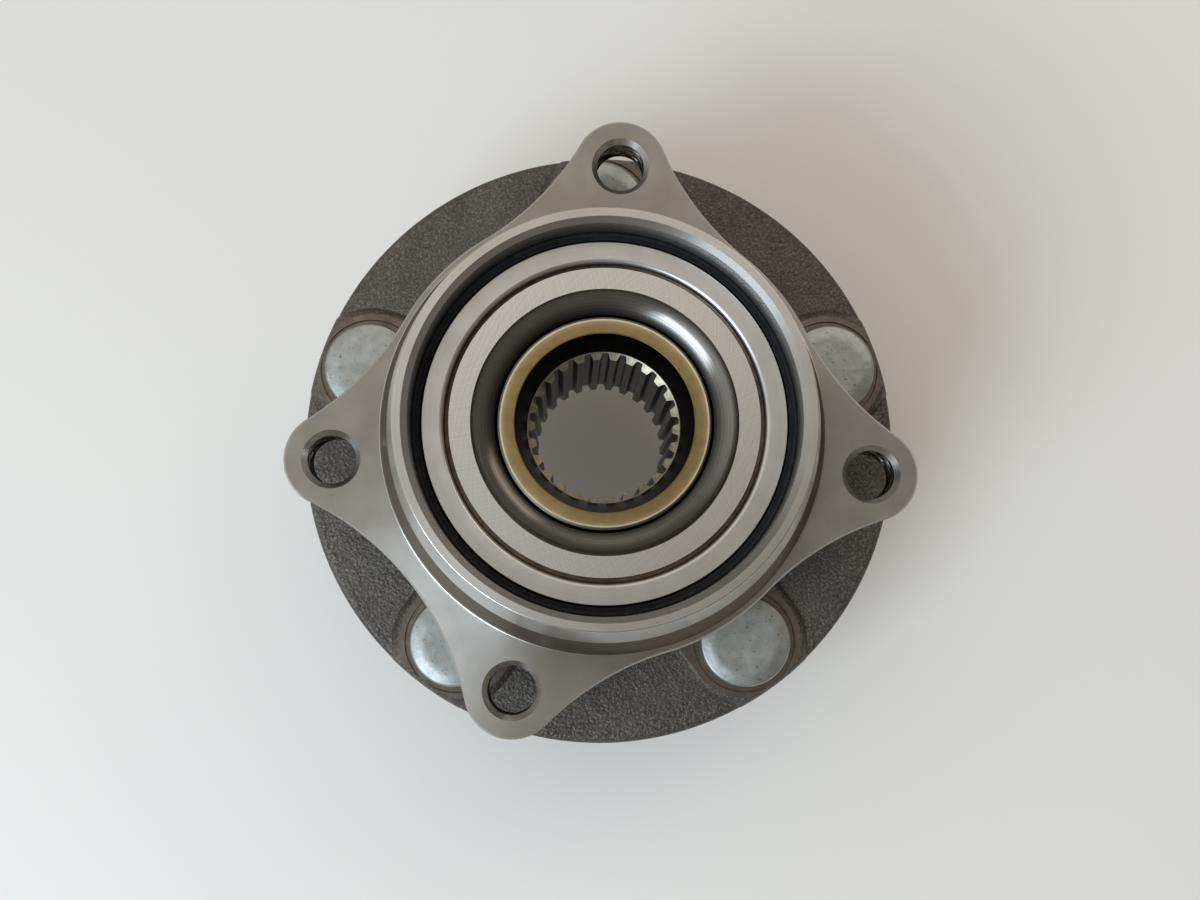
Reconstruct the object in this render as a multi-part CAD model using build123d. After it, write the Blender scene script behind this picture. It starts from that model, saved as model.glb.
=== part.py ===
"""Driven wheel hub bearing unit: a flanged hub on two rows of angular contact balls.

Frame: +Z is the spin axis and points inboard, towards the knuckle and the drive shaft.
The origin is where that axis meets the wheel mounting face. +Y passes through stud 1.
Every length is in millimetres and every angle in degrees.
"""

import math
import os

from build123d import *

# ---- Hub flange and wheel interface ----
STUD_COUNT = 5
STUD_PITCH_RADIUS = 114.3 / 2
FLANGE_RADIUS = 70.0
FLANGE_THICKNESS = 9.4
FLANGE_RIM_THICKNESS = 9.0
FLANGE_EDGE_ROUNDING = 1.6
WHEEL_FACE_CHAMFER = 0.8
SPIGOT_RADIUS = 67.0 / 2
SPIGOT_LENGTH = 12.0
SPIGOT_WALL = 6.0
SPIGOT_LEAD_IN = 1.5
SPIGOT_RELIEF_WIDTH = 1.6
SPIGOT_RELIEF_DEPTH = 0.7
SPIGOT_SHOULDER_ROUNDING = 0.8
EDGE_ROUNDING = 0.6
WEB_BLEND = 12.0

# ---- Wheel studs ----
STUD_THREAD_RADIUS = 6.0
STUD_KNURL_RADIUS = 6.45
STUD_LENGTH = 50.5
STUD_TIP_CHAMFER = 1.2
STUD_HEAD_RADIUS = 10.5
STUD_HEAD_THICKNESS = 4.0
STUD_HEAD_BEVEL_WIDTH = 2.2
STUD_HEAD_BEVEL_HEIGHT = 1.3
SEAT_CLEARANCE = 1.3
SEAT_RADIUS = STUD_HEAD_RADIUS + SEAT_CLEARANCE
SEAT_RIM = 0.4
SEAT_DEPTH = 0.5
BOSS_HEIGHT = 1.6
BOSS_FLANK_WIDTH = 3.0
BOSS_FLANK_HEIGHT = 1.9
BOSS_REACH = 16.0
BOSS_WIDTH_BEYOND_SEAT = SEAT_RIM + BOSS_FLANK_WIDTH

# ---- Spline and axle nut seat ----
SPLINE_TEETH = 26
SPLINE_MAJOR_RADIUS = 16.1
SPLINE_TOOTH_DEPTH = 1.3
SPLINE_LEAD_IN_DEPTH = 8.2
NOSE_FACE_WIDTH = 3.5
HUB_WALL = 6.2
SPLINE_PHASE = 5.48
SPLINE_ROOT_SHARE = 0.30
SPLINE_TIP_SHARE = 0.60
NUT_SEAT_HEIGHT = -1.0
NUT_RECESS_FILLET = 1.5
NUT_RECESS_FLARE = 2.5
NUT_RECESS_LAND = 4.0

# ---- Ball rows ----
BALL_DIAMETER = 12.7
INNER_RING_WALL = 5.85
ROW_GAP = 2.5
INNER_SHOULDER_SHARE = 0.4055
OUTER_SHOULDER_SHARE = 0.3976
BALL_ENTRY_LIP = 0.65
BALL_COUNT = 14
CONTACT_ANGLE = 40.0
GROOVE_CONFORMITY = 0.52
RACE_CLEARANCE = 0.12
LOW_SHOULDER_DEPTH = 0.35
NECK_FILLET = 2.5
NECK_CLEARANCE = 0.5
SEAL_LAND_INSET = 3.5
SPLINE_LEAD_IN_CLEARANCE = 0.25
SPLINE_LEAD_IN_LAND = 0.5

# ---- Ball cages ----
POCKET_CLEARANCE = 0.2
CAGE_BACK_WALL = 0.85
CAGE_FRONT_SHARE = 0.362
CAGE_END_GAP = 0.75
CAGE_STEP_HEIGHT = 1.2
CAGE_STEP_BLEND = 1.5
CAGE_THICKNESS = 3.8
CAGE_RUNNING_GAP = 0.6

# ---- Inner ring and hub nose ----
INNER_RING_OUTER_CHAMFER = 1.0
INNER_FACE_WIDTH = 4.45
RECESS_SLOPE = 1.117
NOSE_SETBACK = 2.2
NOSE_EDGE = 0.4
RECESS_CONE_DEPTH = 1.75
RECESS_THROAT_WIDTH = 1.6
RECESS_THROAT_ROUNDING = 2.2

# ---- Outer ring ----
PILOT_WALL = 5.4
PILOT_PROJECTION = 7.5
PILOT_LEAD_IN_WIDTH = 2.4
KNUCKLE_SEAT_WIDTH = 4.3
BARREL_WALL = 5.0
PILOT_LEAD_IN_HEIGHT = 12.0
PILOT_BORE_CHAMFER = 1.2
PILOT_FILLET = 3.0
EAR_FACE_HEIGHT = 37.4
EAR_THICKNESS = 11.0
BARREL_FILLET = 3.0
OUTER_RING_BOTTOM = 12.6
FLANGE_GAP = 2.2
BARREL_CHAMFER = 1.2
KNUCKLE_PITCH_RADIUS = 59.3
EAR_TIP_RADIUS = 10.3
EAR_FLANK_RADIUS = 62.0
EAR_BRIDGE_RISE = 3.0
EAR_EDGE_CHAMFER = 0.45
SHORTEST_BODY_ARC = 10.0
EAR_SYMMETRY_ANGLE = 218.5
NEAR_EAR_HALF_ANGLE = 32.3
FAR_EAR_HALF_ANGLE = 132.3
KNUCKLE_THREAD_RADIUS = 5.25
KNUCKLE_THREAD_CHAMFER = 1.15

# ---- Seals ----
SHEET = 0.8
SLINGER_DROP = 0.2
SLINGER_SLEEVE_LENGTH = 4.6
SLINGER_BEND = 1.0
SEAL_CASE_LENGTH = 3.8
SEAL_RIM_DROP = 1.4
SEAL_GAP = 0.3
SEAL_RIM_WIDTH = 2.0
LIP_THICKNESS = 0.7
CASE_INNER_GAP = 2.0
RIM_LIP_ROOT = 1.2
SIDE_LIP_ROOT = 0.2
RADIAL_LIP_REACH = 1.0
RADIAL_LIP_HEIGHT = 1.6
OUTBOARD_SEAL_DEPTH = 0.6
OUTBOARD_SEAL_LENGTH = 3.8

# ---- Sizes that follow from the ones above, from the spline outward ----
SPLINE_MINOR_RADIUS = SPLINE_MAJOR_RADIUS - SPLINE_TOOTH_DEPTH
SEAT_SHAFT_RADIUS = SPLINE_MAJOR_RADIUS + HUB_WALL
SPLINE_LEAD_IN_RADIUS = SEAT_SHAFT_RADIUS - NOSE_FACE_WIDTH
BALL_RADIUS = BALL_DIAMETER / 2
GROOVE_RADIUS = GROOVE_CONFORMITY * BALL_DIAMETER
GROOVE_FLOOR_RADIUS = SEAT_SHAFT_RADIUS + INNER_RING_WALL
BALL_PITCH_RADIUS = GROOVE_FLOOR_RADIUS + BALL_RADIUS
HIGH_SHOULDER_RADIUS = GROOVE_FLOOR_RADIUS + INNER_SHOULDER_SHARE * BALL_DIAMETER
LOW_SHOULDER_RADIUS = GROOVE_FLOOR_RADIUS + LOW_SHOULDER_DEPTH
OUTER_LAND_RADIUS = BALL_PITCH_RADIUS + BALL_RADIUS - OUTER_SHOULDER_SHARE * BALL_DIAMETER
SEAL_BORE_RADIUS = BALL_PITCH_RADIUS + BALL_RADIUS - BALL_ENTRY_LIP
SLINGER_OUTER_RADIUS = SEAL_BORE_RADIUS - SEAL_RIM_WIDTH - SEAL_GAP
PILOT_RADIUS = SEAL_BORE_RADIUS + PILOT_WALL
PILOT_FACE_OUTER_RADIUS = PILOT_RADIUS - PILOT_LEAD_IN_WIDTH
BODY_RADIUS = PILOT_RADIUS + KNUCKLE_SEAT_WIDTH
BARREL_RADIUS = SEAL_BORE_RADIUS + BARREL_WALL
RECESS_RADIUS = HIGH_SHOULDER_RADIUS - INNER_RING_OUTER_CHAMFER - INNER_FACE_WIDTH
RECESS_DEPTH = (RECESS_RADIUS - SEAT_SHAFT_RADIUS) * RECESS_SLOPE

# ---- Heights, from the wheel face inboard ----
STUD_SEAT_HEIGHT = FLANGE_THICKNESS + BOSS_HEIGHT - SEAT_DEPTH
CAGE_BACK_HEIGHT = BALL_RADIUS + CAGE_BACK_WALL
CAGE_FRONT_HEIGHT = CAGE_FRONT_SHARE * BALL_DIAMETER
OUTBOARD_CASE_TOP = OUTER_RING_BOTTOM + OUTBOARD_SEAL_DEPTH + OUTBOARD_SEAL_LENGTH
OUTBOARD_ROW_HEIGHT = OUTBOARD_CASE_TOP + CAGE_END_GAP + CAGE_BACK_HEIGHT
INBOARD_ROW_HEIGHT = OUTBOARD_ROW_HEIGHT + BALL_DIAMETER + ROW_GAP
INBOARD_CASE_BOTTOM = INBOARD_ROW_HEIGHT + CAGE_BACK_HEIGHT + CAGE_END_GAP
SLINGER_TOP = INBOARD_CASE_BOTTOM + SEAL_GAP + SLINGER_SLEEVE_LENGTH
INNER_RING_TOP = SLINGER_TOP + SLINGER_DROP
INNER_RING_BOTTOM = (INBOARD_ROW_HEIGHT + OUTBOARD_ROW_HEIGHT) / 2
NOSE_TOP = INNER_RING_TOP - NOSE_SETBACK
SPLINE_TOP = NOSE_TOP - SPLINE_LEAD_IN_DEPTH
SPLINE_LENGTH = SPLINE_TOP - NUT_SEAT_HEIGHT
PILOT_TOP = INNER_RING_TOP + PILOT_PROJECTION
EAR_BACK_HEIGHT = EAR_FACE_HEIGHT - EAR_THICKNESS
SEAL_LAND_HEIGHT = OUTER_RING_BOTTOM - FLANGE_GAP
OVERCUT = 1.0


def turned(*corners):
    """Solid of revolution about Z; a corner is (radius, height) or (radius, height, rounding)."""
    points = [Vector(corner[0], 0, corner[1]) for corner in corners]
    roundings = [corner[2] if len(corner) > 2 else 0 for corner in corners]
    spans, edges = [], []
    for index, (point, rounding) in enumerate(zip(points, roundings)):
        before = points[index - 1] - point
        after = points[(index + 1) % len(points)] - point
        if not rounding:
            spans.append((point, point))
            continue
        half_angle = math.radians(before.get_angle(after)) / 2
        setback = rounding / math.tan(half_angle)
        bisector = (before.normalized() + after.normalized()).normalized()
        middle = point + bisector * (rounding / math.sin(half_angle) - rounding)
        start = point + before.normalized() * setback
        end = point + after.normalized() * setback
        edges.append(ThreePointArc(start, middle, end))
        spans.append((start, end))
    for (_, end), (start, _) in zip(spans, spans[1:] + spans[:1]):
        if (start - end).length > 1e-6:
            edges.append(Line(end, start))
    return revolve(make_face(edges), Axis.Z)


def washer(outer_radius, inner_radius, bottom, top):
    """Plain ring of rectangular section."""
    return turned((inner_radius, bottom), (outer_radius, bottom), (outer_radius, top), (inner_radius, top))


def raceway(row_height, towards, ring):
    """Torus that cuts a ball groove; towards is +1 or -1 along Z, ring is -1 inner or +1 outer."""
    offset = GROOVE_RADIUS - BALL_RADIUS - RACE_CLEARANCE
    angle = math.radians(CONTACT_ANGLE)
    groove_centre_radius = BALL_PITCH_RADIUS - ring * offset * math.cos(angle)
    groove_centre_height = row_height - towards * offset * math.sin(angle)
    return Pos(0, 0, groove_centre_height) * Torus(groove_centre_radius, GROOVE_RADIUS)


def stud_angles():
    """Direction of each stud, with stud 1 on +Y."""
    return [90 + 360 / STUD_COUNT * index for index in range(STUD_COUNT)]


def ear_angles():
    """Direction of each knuckle bolt, in turning order, two near and two far from the symmetry line."""
    offsets = [-FAR_EAR_HALF_ANGLE, -NEAR_EAR_HALF_ANGLE, NEAR_EAR_HALF_ANGLE, FAR_EAR_HALF_ANGLE]
    return [EAR_SYMMETRY_ANGLE + offset for offset in offsets]


def at_polar(radius, angle, height=0.0):
    """Location on a circle round the spin axis."""
    direction = math.radians(angle)
    return Pos(radius * math.cos(direction), radius * math.sin(direction), height)


# ---- Hub ----
def spline_cutter():
    """Straight-sided tooth spaces, cut outward from the bore to the spline's major circle."""
    half_pitch = math.pi / SPLINE_TEETH
    root_half_angle = half_pitch * SPLINE_ROOT_SHARE
    tip_half_angle = half_pitch * SPLINE_TIP_SHARE
    inner_radius = SPLINE_MINOR_RADIUS - OVERCUT
    space = Polyline(
        (inner_radius, -SPLINE_MINOR_RADIUS * math.sin(tip_half_angle)),
        (SPLINE_MINOR_RADIUS, -SPLINE_MINOR_RADIUS * math.sin(tip_half_angle)),
        (SPLINE_MAJOR_RADIUS, -SPLINE_MAJOR_RADIUS * math.sin(root_half_angle)),
        (SPLINE_MAJOR_RADIUS, SPLINE_MAJOR_RADIUS * math.sin(root_half_angle)),
        (SPLINE_MINOR_RADIUS, SPLINE_MINOR_RADIUS * math.sin(tip_half_angle)),
        (inner_radius, SPLINE_MINOR_RADIUS * math.sin(tip_half_angle)),
        close=True,
    )
    spaces = PolarLocations(0, SPLINE_TEETH, SPLINE_PHASE) * make_face(space)
    bore = Circle(SPLINE_MINOR_RADIUS)
    for space_face in spaces:
        bore += space_face
    return Pos(0, 0, NUT_SEAT_HEIGHT - OVERCUT) * extrude(bore, SPLINE_LENGTH + 2 * OVERCUT)


def hub():
    """Forged hub: wheel flange, spigot, outboard raceway, inner ring seat, nose and splined bore."""
    spigot_bore_radius = SPIGOT_RADIUS - SPIGOT_WALL
    neck_radius = HIGH_SHOULDER_RADIUS
    lead_in_foot_radius = SPLINE_MAJOR_RADIUS + SPLINE_LEAD_IN_CLEARANCE
    body = turned(
        (0, NUT_SEAT_HEIGHT),
        (spigot_bore_radius - NUT_RECESS_FLARE, NUT_SEAT_HEIGHT, NUT_RECESS_FILLET),
        (spigot_bore_radius, -SPIGOT_LENGTH + NUT_RECESS_LAND),
        (spigot_bore_radius, -SPIGOT_LENGTH, EDGE_ROUNDING),
        (SPIGOT_RADIUS - SPIGOT_LEAD_IN, -SPIGOT_LENGTH, EDGE_ROUNDING),
        (SPIGOT_RADIUS, -SPIGOT_LENGTH + 2 * SPIGOT_LEAD_IN, SPIGOT_SHOULDER_ROUNDING),
        (SPIGOT_RADIUS, SPIGOT_RELIEF_DEPTH),
        (SPIGOT_RADIUS + SPIGOT_RELIEF_WIDTH, SPIGOT_RELIEF_DEPTH),
        (SPIGOT_RADIUS + SPIGOT_RELIEF_WIDTH, 0),
        (FLANGE_RADIUS - WHEEL_FACE_CHAMFER, 0),
        (FLANGE_RADIUS, WHEEL_FACE_CHAMFER),
        (FLANGE_RADIUS, FLANGE_RIM_THICKNESS, FLANGE_EDGE_ROUNDING),
        (STUD_PITCH_RADIUS, FLANGE_THICKNESS, WEB_BLEND),
        (BARREL_RADIUS + NECK_CLEARANCE, FLANGE_THICKNESS, FLANGE_EDGE_ROUNDING),
        (BARREL_RADIUS - SEAL_LAND_INSET, SEAL_LAND_HEIGHT, EDGE_ROUNDING),
        (neck_radius + NECK_FILLET, SEAL_LAND_HEIGHT),
        (neck_radius, SEAL_LAND_HEIGHT + NECK_FILLET),
        (neck_radius, OUTBOARD_ROW_HEIGHT),
        (LOW_SHOULDER_RADIUS, OUTBOARD_ROW_HEIGHT),
        (LOW_SHOULDER_RADIUS, INNER_RING_BOTTOM),
        (SEAT_SHAFT_RADIUS, INNER_RING_BOTTOM),
        (SEAT_SHAFT_RADIUS, NOSE_TOP - NOSE_EDGE),
        (SEAT_SHAFT_RADIUS - NOSE_EDGE, NOSE_TOP),
        (SPLINE_LEAD_IN_RADIUS, NOSE_TOP),
        (lead_in_foot_radius, SPLINE_TOP + SPLINE_LEAD_IN_LAND),
        (lead_in_foot_radius, SPLINE_TOP),
        (0, SPLINE_TOP),
    )
    boss_outline = Circle(SEAT_RADIUS + BOSS_WIDTH_BEYOND_SEAT) + Pos(-BOSS_REACH / 2, 0) * Rectangle(
        BOSS_REACH, 2 * (SEAT_RADIUS + BOSS_WIDTH_BEYOND_SEAT)
    )
    boss_flank_slope = math.degrees(math.atan2(BOSS_FLANK_WIDTH, BOSS_FLANK_HEIGHT))
    boss = Pos(0, 0, FLANGE_THICKNESS + BOSS_HEIGHT - BOSS_FLANK_HEIGHT) * extrude(
        boss_outline, BOSS_FLANK_HEIGHT, taper=boss_flank_slope
    )
    for angle in stud_angles():
        body += at_polar(STUD_PITCH_RADIUS, angle) * Rot(0, 0, angle) * boss
    body -= washer(FLANGE_RADIUS + BOSS_REACH, FLANGE_RADIUS, -OVERCUT, FLANGE_THICKNESS + 2 * BOSS_HEIGHT)
    body -= washer(BARREL_RADIUS + NECK_CLEARANCE, neck_radius + NECK_FILLET, SEAL_LAND_HEIGHT, INNER_RING_BOTTOM)
    body -= raceway(OUTBOARD_ROW_HEIGHT, -1, -1)
    body -= spline_cutter()
    for angle in stud_angles():
        body -= at_polar(STUD_PITCH_RADIUS, angle, STUD_SEAT_HEIGHT) * extrude(Circle(SEAT_RADIUS), BOSS_HEIGHT * 2)
        body -= at_polar(STUD_PITCH_RADIUS, angle, -OVERCUT) * extrude(
            Circle(STUD_KNURL_RADIUS), STUD_SEAT_HEIGHT + 2 * OVERCUT
        )
    return body


def wheel_stud():
    """Press-in stud: bevelled round head, knurled shoulder in the flange, threaded end."""
    tip = STUD_SEAT_HEIGHT - STUD_LENGTH
    top = STUD_SEAT_HEIGHT + STUD_HEAD_THICKNESS
    return turned(
        (0, tip),
        (STUD_THREAD_RADIUS - STUD_TIP_CHAMFER, tip),
        (STUD_THREAD_RADIUS, tip + STUD_TIP_CHAMFER),
        (STUD_THREAD_RADIUS, -0.2),
        (STUD_KNURL_RADIUS, 0.4),
        (STUD_KNURL_RADIUS, STUD_SEAT_HEIGHT),
        (STUD_HEAD_RADIUS - 0.3, STUD_SEAT_HEIGHT),
        (STUD_HEAD_RADIUS, STUD_SEAT_HEIGHT + 0.3),
        (STUD_HEAD_RADIUS, top - STUD_HEAD_BEVEL_HEIGHT, 0.6),
        (STUD_HEAD_RADIUS - STUD_HEAD_BEVEL_WIDTH, top, 1.5),
        (0, top),
    )


# ---- Inner ring ----
def inner_ring():
    """Inboard raceway ring on the hub's seat; its mouth is a shallow cone that rolls over into a steep throat."""
    ring = turned(
        (SEAT_SHAFT_RADIUS, INNER_RING_BOTTOM),
        (LOW_SHOULDER_RADIUS, INNER_RING_BOTTOM),
        (LOW_SHOULDER_RADIUS, INBOARD_ROW_HEIGHT),
        (HIGH_SHOULDER_RADIUS, INBOARD_ROW_HEIGHT),
        (HIGH_SHOULDER_RADIUS, INNER_RING_TOP - INNER_RING_OUTER_CHAMFER),
        (HIGH_SHOULDER_RADIUS - INNER_RING_OUTER_CHAMFER, INNER_RING_TOP),
        (RECESS_RADIUS, INNER_RING_TOP),
        (SEAT_SHAFT_RADIUS + RECESS_THROAT_WIDTH, INNER_RING_TOP - RECESS_CONE_DEPTH, RECESS_THROAT_ROUNDING),
        (SEAT_SHAFT_RADIUS, INNER_RING_TOP - RECESS_DEPTH),
    )
    return ring - raceway(INBOARD_ROW_HEIGHT, 1, -1)


# ---- Outer ring ----
def polar_point(radius, angle):
    """Point of the ear outline, in the XY plane."""
    return Vector(radius * math.cos(math.radians(angle)), radius * math.sin(math.radians(angle)))


def arc_between(centre, start, end, bulge_towards):
    """Arc of a circle from start to end whose middle lies towards the given point."""
    radius = (start - centre).length
    middle = centre + (bulge_towards - centre).normalized() * radius
    return ThreePointArc(start, middle, end)


def flank_foot_angle(flank_radius):
    """Angle from an ear to where its flank arc, tangent to tip and body, meets the body circle."""
    reach = BODY_RADIUS + flank_radius
    tip_reach = EAR_TIP_RADIUS + flank_radius
    cosine = (reach**2 + KNUCKLE_PITCH_RADIUS**2 - tip_reach**2) / (2 * reach * KNUCKLE_PITCH_RADIUS)
    return math.degrees(math.acos(cosine))


def ear_plate_outline():
    """Four ears joined by concave flanks; the two near ears share one flank, the others run into the body."""
    angles = ear_angles()
    foot = flank_foot_angle(EAR_FLANK_RADIUS)
    saddle_height = KNUCKLE_PITCH_RADIUS * math.cos(math.radians(NEAR_EAR_HALF_ANGLE)) + EAR_BRIDGE_RISE
    half_chord = KNUCKLE_PITCH_RADIUS * math.sin(math.radians(NEAR_EAR_HALF_ANGLE))
    saddle_radius = (half_chord**2 + EAR_BRIDGE_RISE**2 - EAR_TIP_RADIUS**2) / (
        2 * (EAR_TIP_RADIUS - EAR_BRIDGE_RISE)
    )
    edges, joints = [], []
    for index, angle in enumerate(angles):
        following = angles[(index + 1) % len(angles)] + (360 if index == len(angles) - 1 else 0)
        here, there = polar_point(KNUCKLE_PITCH_RADIUS, angle), polar_point(KNUCKLE_PITCH_RADIUS, following)
        if following - angle < 2 * foot + SHORTEST_BODY_ARC:
            middle_angle = (angle + following) / 2
            centre = polar_point(saddle_height + saddle_radius, middle_angle)
            leave = here + (centre - here).normalized() * EAR_TIP_RADIUS
            arrive = there + (centre - there).normalized() * EAR_TIP_RADIUS
            edges.append(arc_between(centre, leave, arrive, Vector(0, 0)))
        else:
            first = polar_point(BODY_RADIUS + EAR_FLANK_RADIUS, angle + foot)
            second = polar_point(BODY_RADIUS + EAR_FLANK_RADIUS, following - foot)
            leave = here + (first - here).normalized() * EAR_TIP_RADIUS
            arrive = there + (second - there).normalized() * EAR_TIP_RADIUS
            landing, take_off = polar_point(BODY_RADIUS, angle + foot), polar_point(BODY_RADIUS, following - foot)
            edges.append(arc_between(first, leave, landing, (leave + landing) * 0.5))
            edges.append(arc_between(Vector(0, 0), landing, take_off, landing + take_off))
            edges.append(arc_between(second, take_off, arrive, (take_off + arrive) * 0.5))
        joints.append((leave, arrive))
    for index, angle in enumerate(angles):
        tip_centre = polar_point(KNUCKLE_PITCH_RADIUS, angle)
        start, end = joints[index - 1][1], joints[index][0]
        edges.append(arc_between(tip_centre, start, end, tip_centre * 2))
    return make_face(edges)


def outer_ring():
    """Fixed ring: pilot that enters the knuckle, four threaded ears and both outer raceways."""
    body = turned(
        (SEAL_BORE_RADIUS, OUTER_RING_BOTTOM),
        (BARREL_RADIUS - BARREL_CHAMFER, OUTER_RING_BOTTOM),
        (BARREL_RADIUS, OUTER_RING_BOTTOM + BARREL_CHAMFER),
        (BARREL_RADIUS, EAR_BACK_HEIGHT, BARREL_FILLET),
        (BODY_RADIUS, EAR_BACK_HEIGHT),
        (BODY_RADIUS, EAR_FACE_HEIGHT),
        (PILOT_RADIUS, EAR_FACE_HEIGHT, PILOT_FILLET),
        (PILOT_RADIUS, PILOT_TOP - PILOT_LEAD_IN_HEIGHT, 1.0),
        (PILOT_FACE_OUTER_RADIUS, PILOT_TOP, 0.3),
        (SEAL_BORE_RADIUS + PILOT_BORE_CHAMFER, PILOT_TOP),
        (SEAL_BORE_RADIUS, PILOT_TOP - PILOT_BORE_CHAMFER),
        (SEAL_BORE_RADIUS, INBOARD_ROW_HEIGHT),
        (OUTER_LAND_RADIUS, INBOARD_ROW_HEIGHT),
        (OUTER_LAND_RADIUS, OUTBOARD_ROW_HEIGHT),
        (SEAL_BORE_RADIUS, OUTBOARD_ROW_HEIGHT),
    )
    plate = Pos(0, 0, EAR_BACK_HEIGHT) * extrude(ear_plate_outline(), EAR_THICKNESS)
    outline_edges = plate.edges().group_by(Axis.Z)
    plate = chamfer(outline_edges[0] + outline_edges[-1], EAR_EDGE_CHAMFER)
    core = Pos(0, 0, EAR_BACK_HEIGHT - OVERCUT) * extrude(Circle(BODY_RADIUS - OVERCUT), EAR_THICKNESS + 2 * OVERCUT)
    body += plate - core
    for angle in ear_angles():
        hole = turned(
            (0, EAR_BACK_HEIGHT - OVERCUT),
            (KNUCKLE_THREAD_RADIUS + KNUCKLE_THREAD_CHAMFER + OVERCUT, EAR_BACK_HEIGHT - OVERCUT),
            (KNUCKLE_THREAD_RADIUS, EAR_BACK_HEIGHT + KNUCKLE_THREAD_CHAMFER),
            (KNUCKLE_THREAD_RADIUS, EAR_FACE_HEIGHT - KNUCKLE_THREAD_CHAMFER),
            (KNUCKLE_THREAD_RADIUS + KNUCKLE_THREAD_CHAMFER + OVERCUT, EAR_FACE_HEIGHT + OVERCUT),
            (0, EAR_FACE_HEIGHT + OVERCUT),
        )
        body -= at_polar(KNUCKLE_PITCH_RADIUS, angle) * hole
    body -= raceway(INBOARD_ROW_HEIGHT, -1, 1)
    body -= raceway(OUTBOARD_ROW_HEIGHT, 1, 1)
    return body


# ---- Ball rows ----
def ball_angles():
    """Direction of each ball of a row."""
    return [360 / BALL_COUNT * index for index in range(BALL_COUNT)]


def ball(row_height, angle):
    """One ball of a row."""
    return at_polar(BALL_PITCH_RADIUS, angle, row_height) * Sphere(BALL_RADIUS)


def cage(row_height, outward):
    """Moulded snap-in cage; outward is +1 if its closed back faces inboard, or -1 outboard."""
    back_inner_radius = HIGH_SHOULDER_RADIUS + CAGE_RUNNING_GAP
    front_outer_radius = OUTER_LAND_RADIUS - CAGE_RUNNING_GAP
    front_inner_radius = front_outer_radius - CAGE_THICKNESS
    corners = [
        (front_inner_radius, -CAGE_FRONT_HEIGHT),
        (front_outer_radius, -CAGE_FRONT_HEIGHT),
        (front_outer_radius, CAGE_STEP_HEIGHT),
        (back_inner_radius + CAGE_THICKNESS, CAGE_STEP_HEIGHT),
        (back_inner_radius + CAGE_THICKNESS, CAGE_BACK_HEIGHT),
        (back_inner_radius, CAGE_BACK_HEIGHT),
        (back_inner_radius, CAGE_STEP_HEIGHT + CAGE_STEP_BLEND),
        (front_inner_radius, CAGE_STEP_HEIGHT),
    ]
    shell = turned(*[(radius, row_height + outward * height) for radius, height in corners])
    for angle in ball_angles():
        shell -= at_polar(BALL_PITCH_RADIUS, angle, row_height) * Sphere(BALL_RADIUS + POCKET_CLEARANCE)
    return shell


# ---- Inboard cassette seal ----
def slinger():
    """Pressed steel slinger on the inner ring: a sleeve turned out into the flange that faces inboard."""
    top = SLINGER_TOP
    inner = HIGH_SHOULDER_RADIUS
    return turned(
        (inner, top - SLINGER_SLEEVE_LENGTH),
        (inner + SHEET, top - SLINGER_SLEEVE_LENGTH),
        (inner + SHEET, top - SHEET, SLINGER_BEND - SHEET + 0.2),
        (SLINGER_OUTER_RADIUS, top - SHEET),
        (SLINGER_OUTER_RADIUS, top),
        (inner, top, SLINGER_BEND),
    )


def inboard_seal_case():
    """Steel insert pressed into the outer ring: a sleeve with a flange turned in towards the shaft."""
    bottom = INBOARD_CASE_BOTTOM
    outer = SEAL_BORE_RADIUS
    return turned(
        (HIGH_SHOULDER_RADIUS + SHEET + CASE_INNER_GAP, bottom),
        (outer, bottom, 0.6),
        (outer, bottom + SEAL_CASE_LENGTH - SHEET),
        (outer - SHEET, bottom + SEAL_CASE_LENGTH - SHEET),
        (outer - SHEET, bottom + SHEET),
        (HIGH_SHOULDER_RADIUS + SHEET + CASE_INNER_GAP, bottom + SHEET),
    )


def inboard_seal_rubber():
    """Rubber bonded in the case: the black rim round the slinger and two lips inside it."""
    case_bottom = INBOARD_CASE_BOTTOM
    floor = case_bottom + SHEET
    case_top = case_bottom + SEAL_CASE_LENGTH - SHEET
    rim_top = INNER_RING_TOP - SEAL_RIM_DROP + SHEET
    wall = SEAL_BORE_RADIUS - SHEET
    rim_inner = SLINGER_OUTER_RADIUS + SEAL_GAP
    sleeve = HIGH_SHOULDER_RADIUS + SHEET
    under_slinger = SLINGER_TOP - SHEET - SEAL_GAP
    return turned(
        (sleeve + CASE_INNER_GAP, case_bottom),
        (sleeve + CASE_INNER_GAP, floor),
        (wall, floor),
        (wall, case_top),
        (SEAL_BORE_RADIUS, case_top),
        (SEAL_BORE_RADIUS, rim_top, 0.3),
        (rim_inner, rim_top, 0.4),
        (rim_inner, floor + 2.4),
        (wall - RIM_LIP_ROOT, floor + LIP_THICKNESS),
        (sleeve + CASE_INNER_GAP + SIDE_LIP_ROOT + LIP_THICKNESS, floor + LIP_THICKNESS),
        (sleeve + CASE_INNER_GAP + SIDE_LIP_ROOT + 2 * LIP_THICKNESS, under_slinger),
        (sleeve + CASE_INNER_GAP + SIDE_LIP_ROOT + LIP_THICKNESS, under_slinger),
        (sleeve + RADIAL_LIP_HEIGHT, floor + LIP_THICKNESS),
        (sleeve + SEAL_GAP + SIDE_LIP_ROOT, floor + RADIAL_LIP_HEIGHT),
        (sleeve + SEAL_GAP, floor + RADIAL_LIP_HEIGHT - LIP_THICKNESS),
        (sleeve + RADIAL_LIP_REACH, case_bottom),
    )


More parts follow.
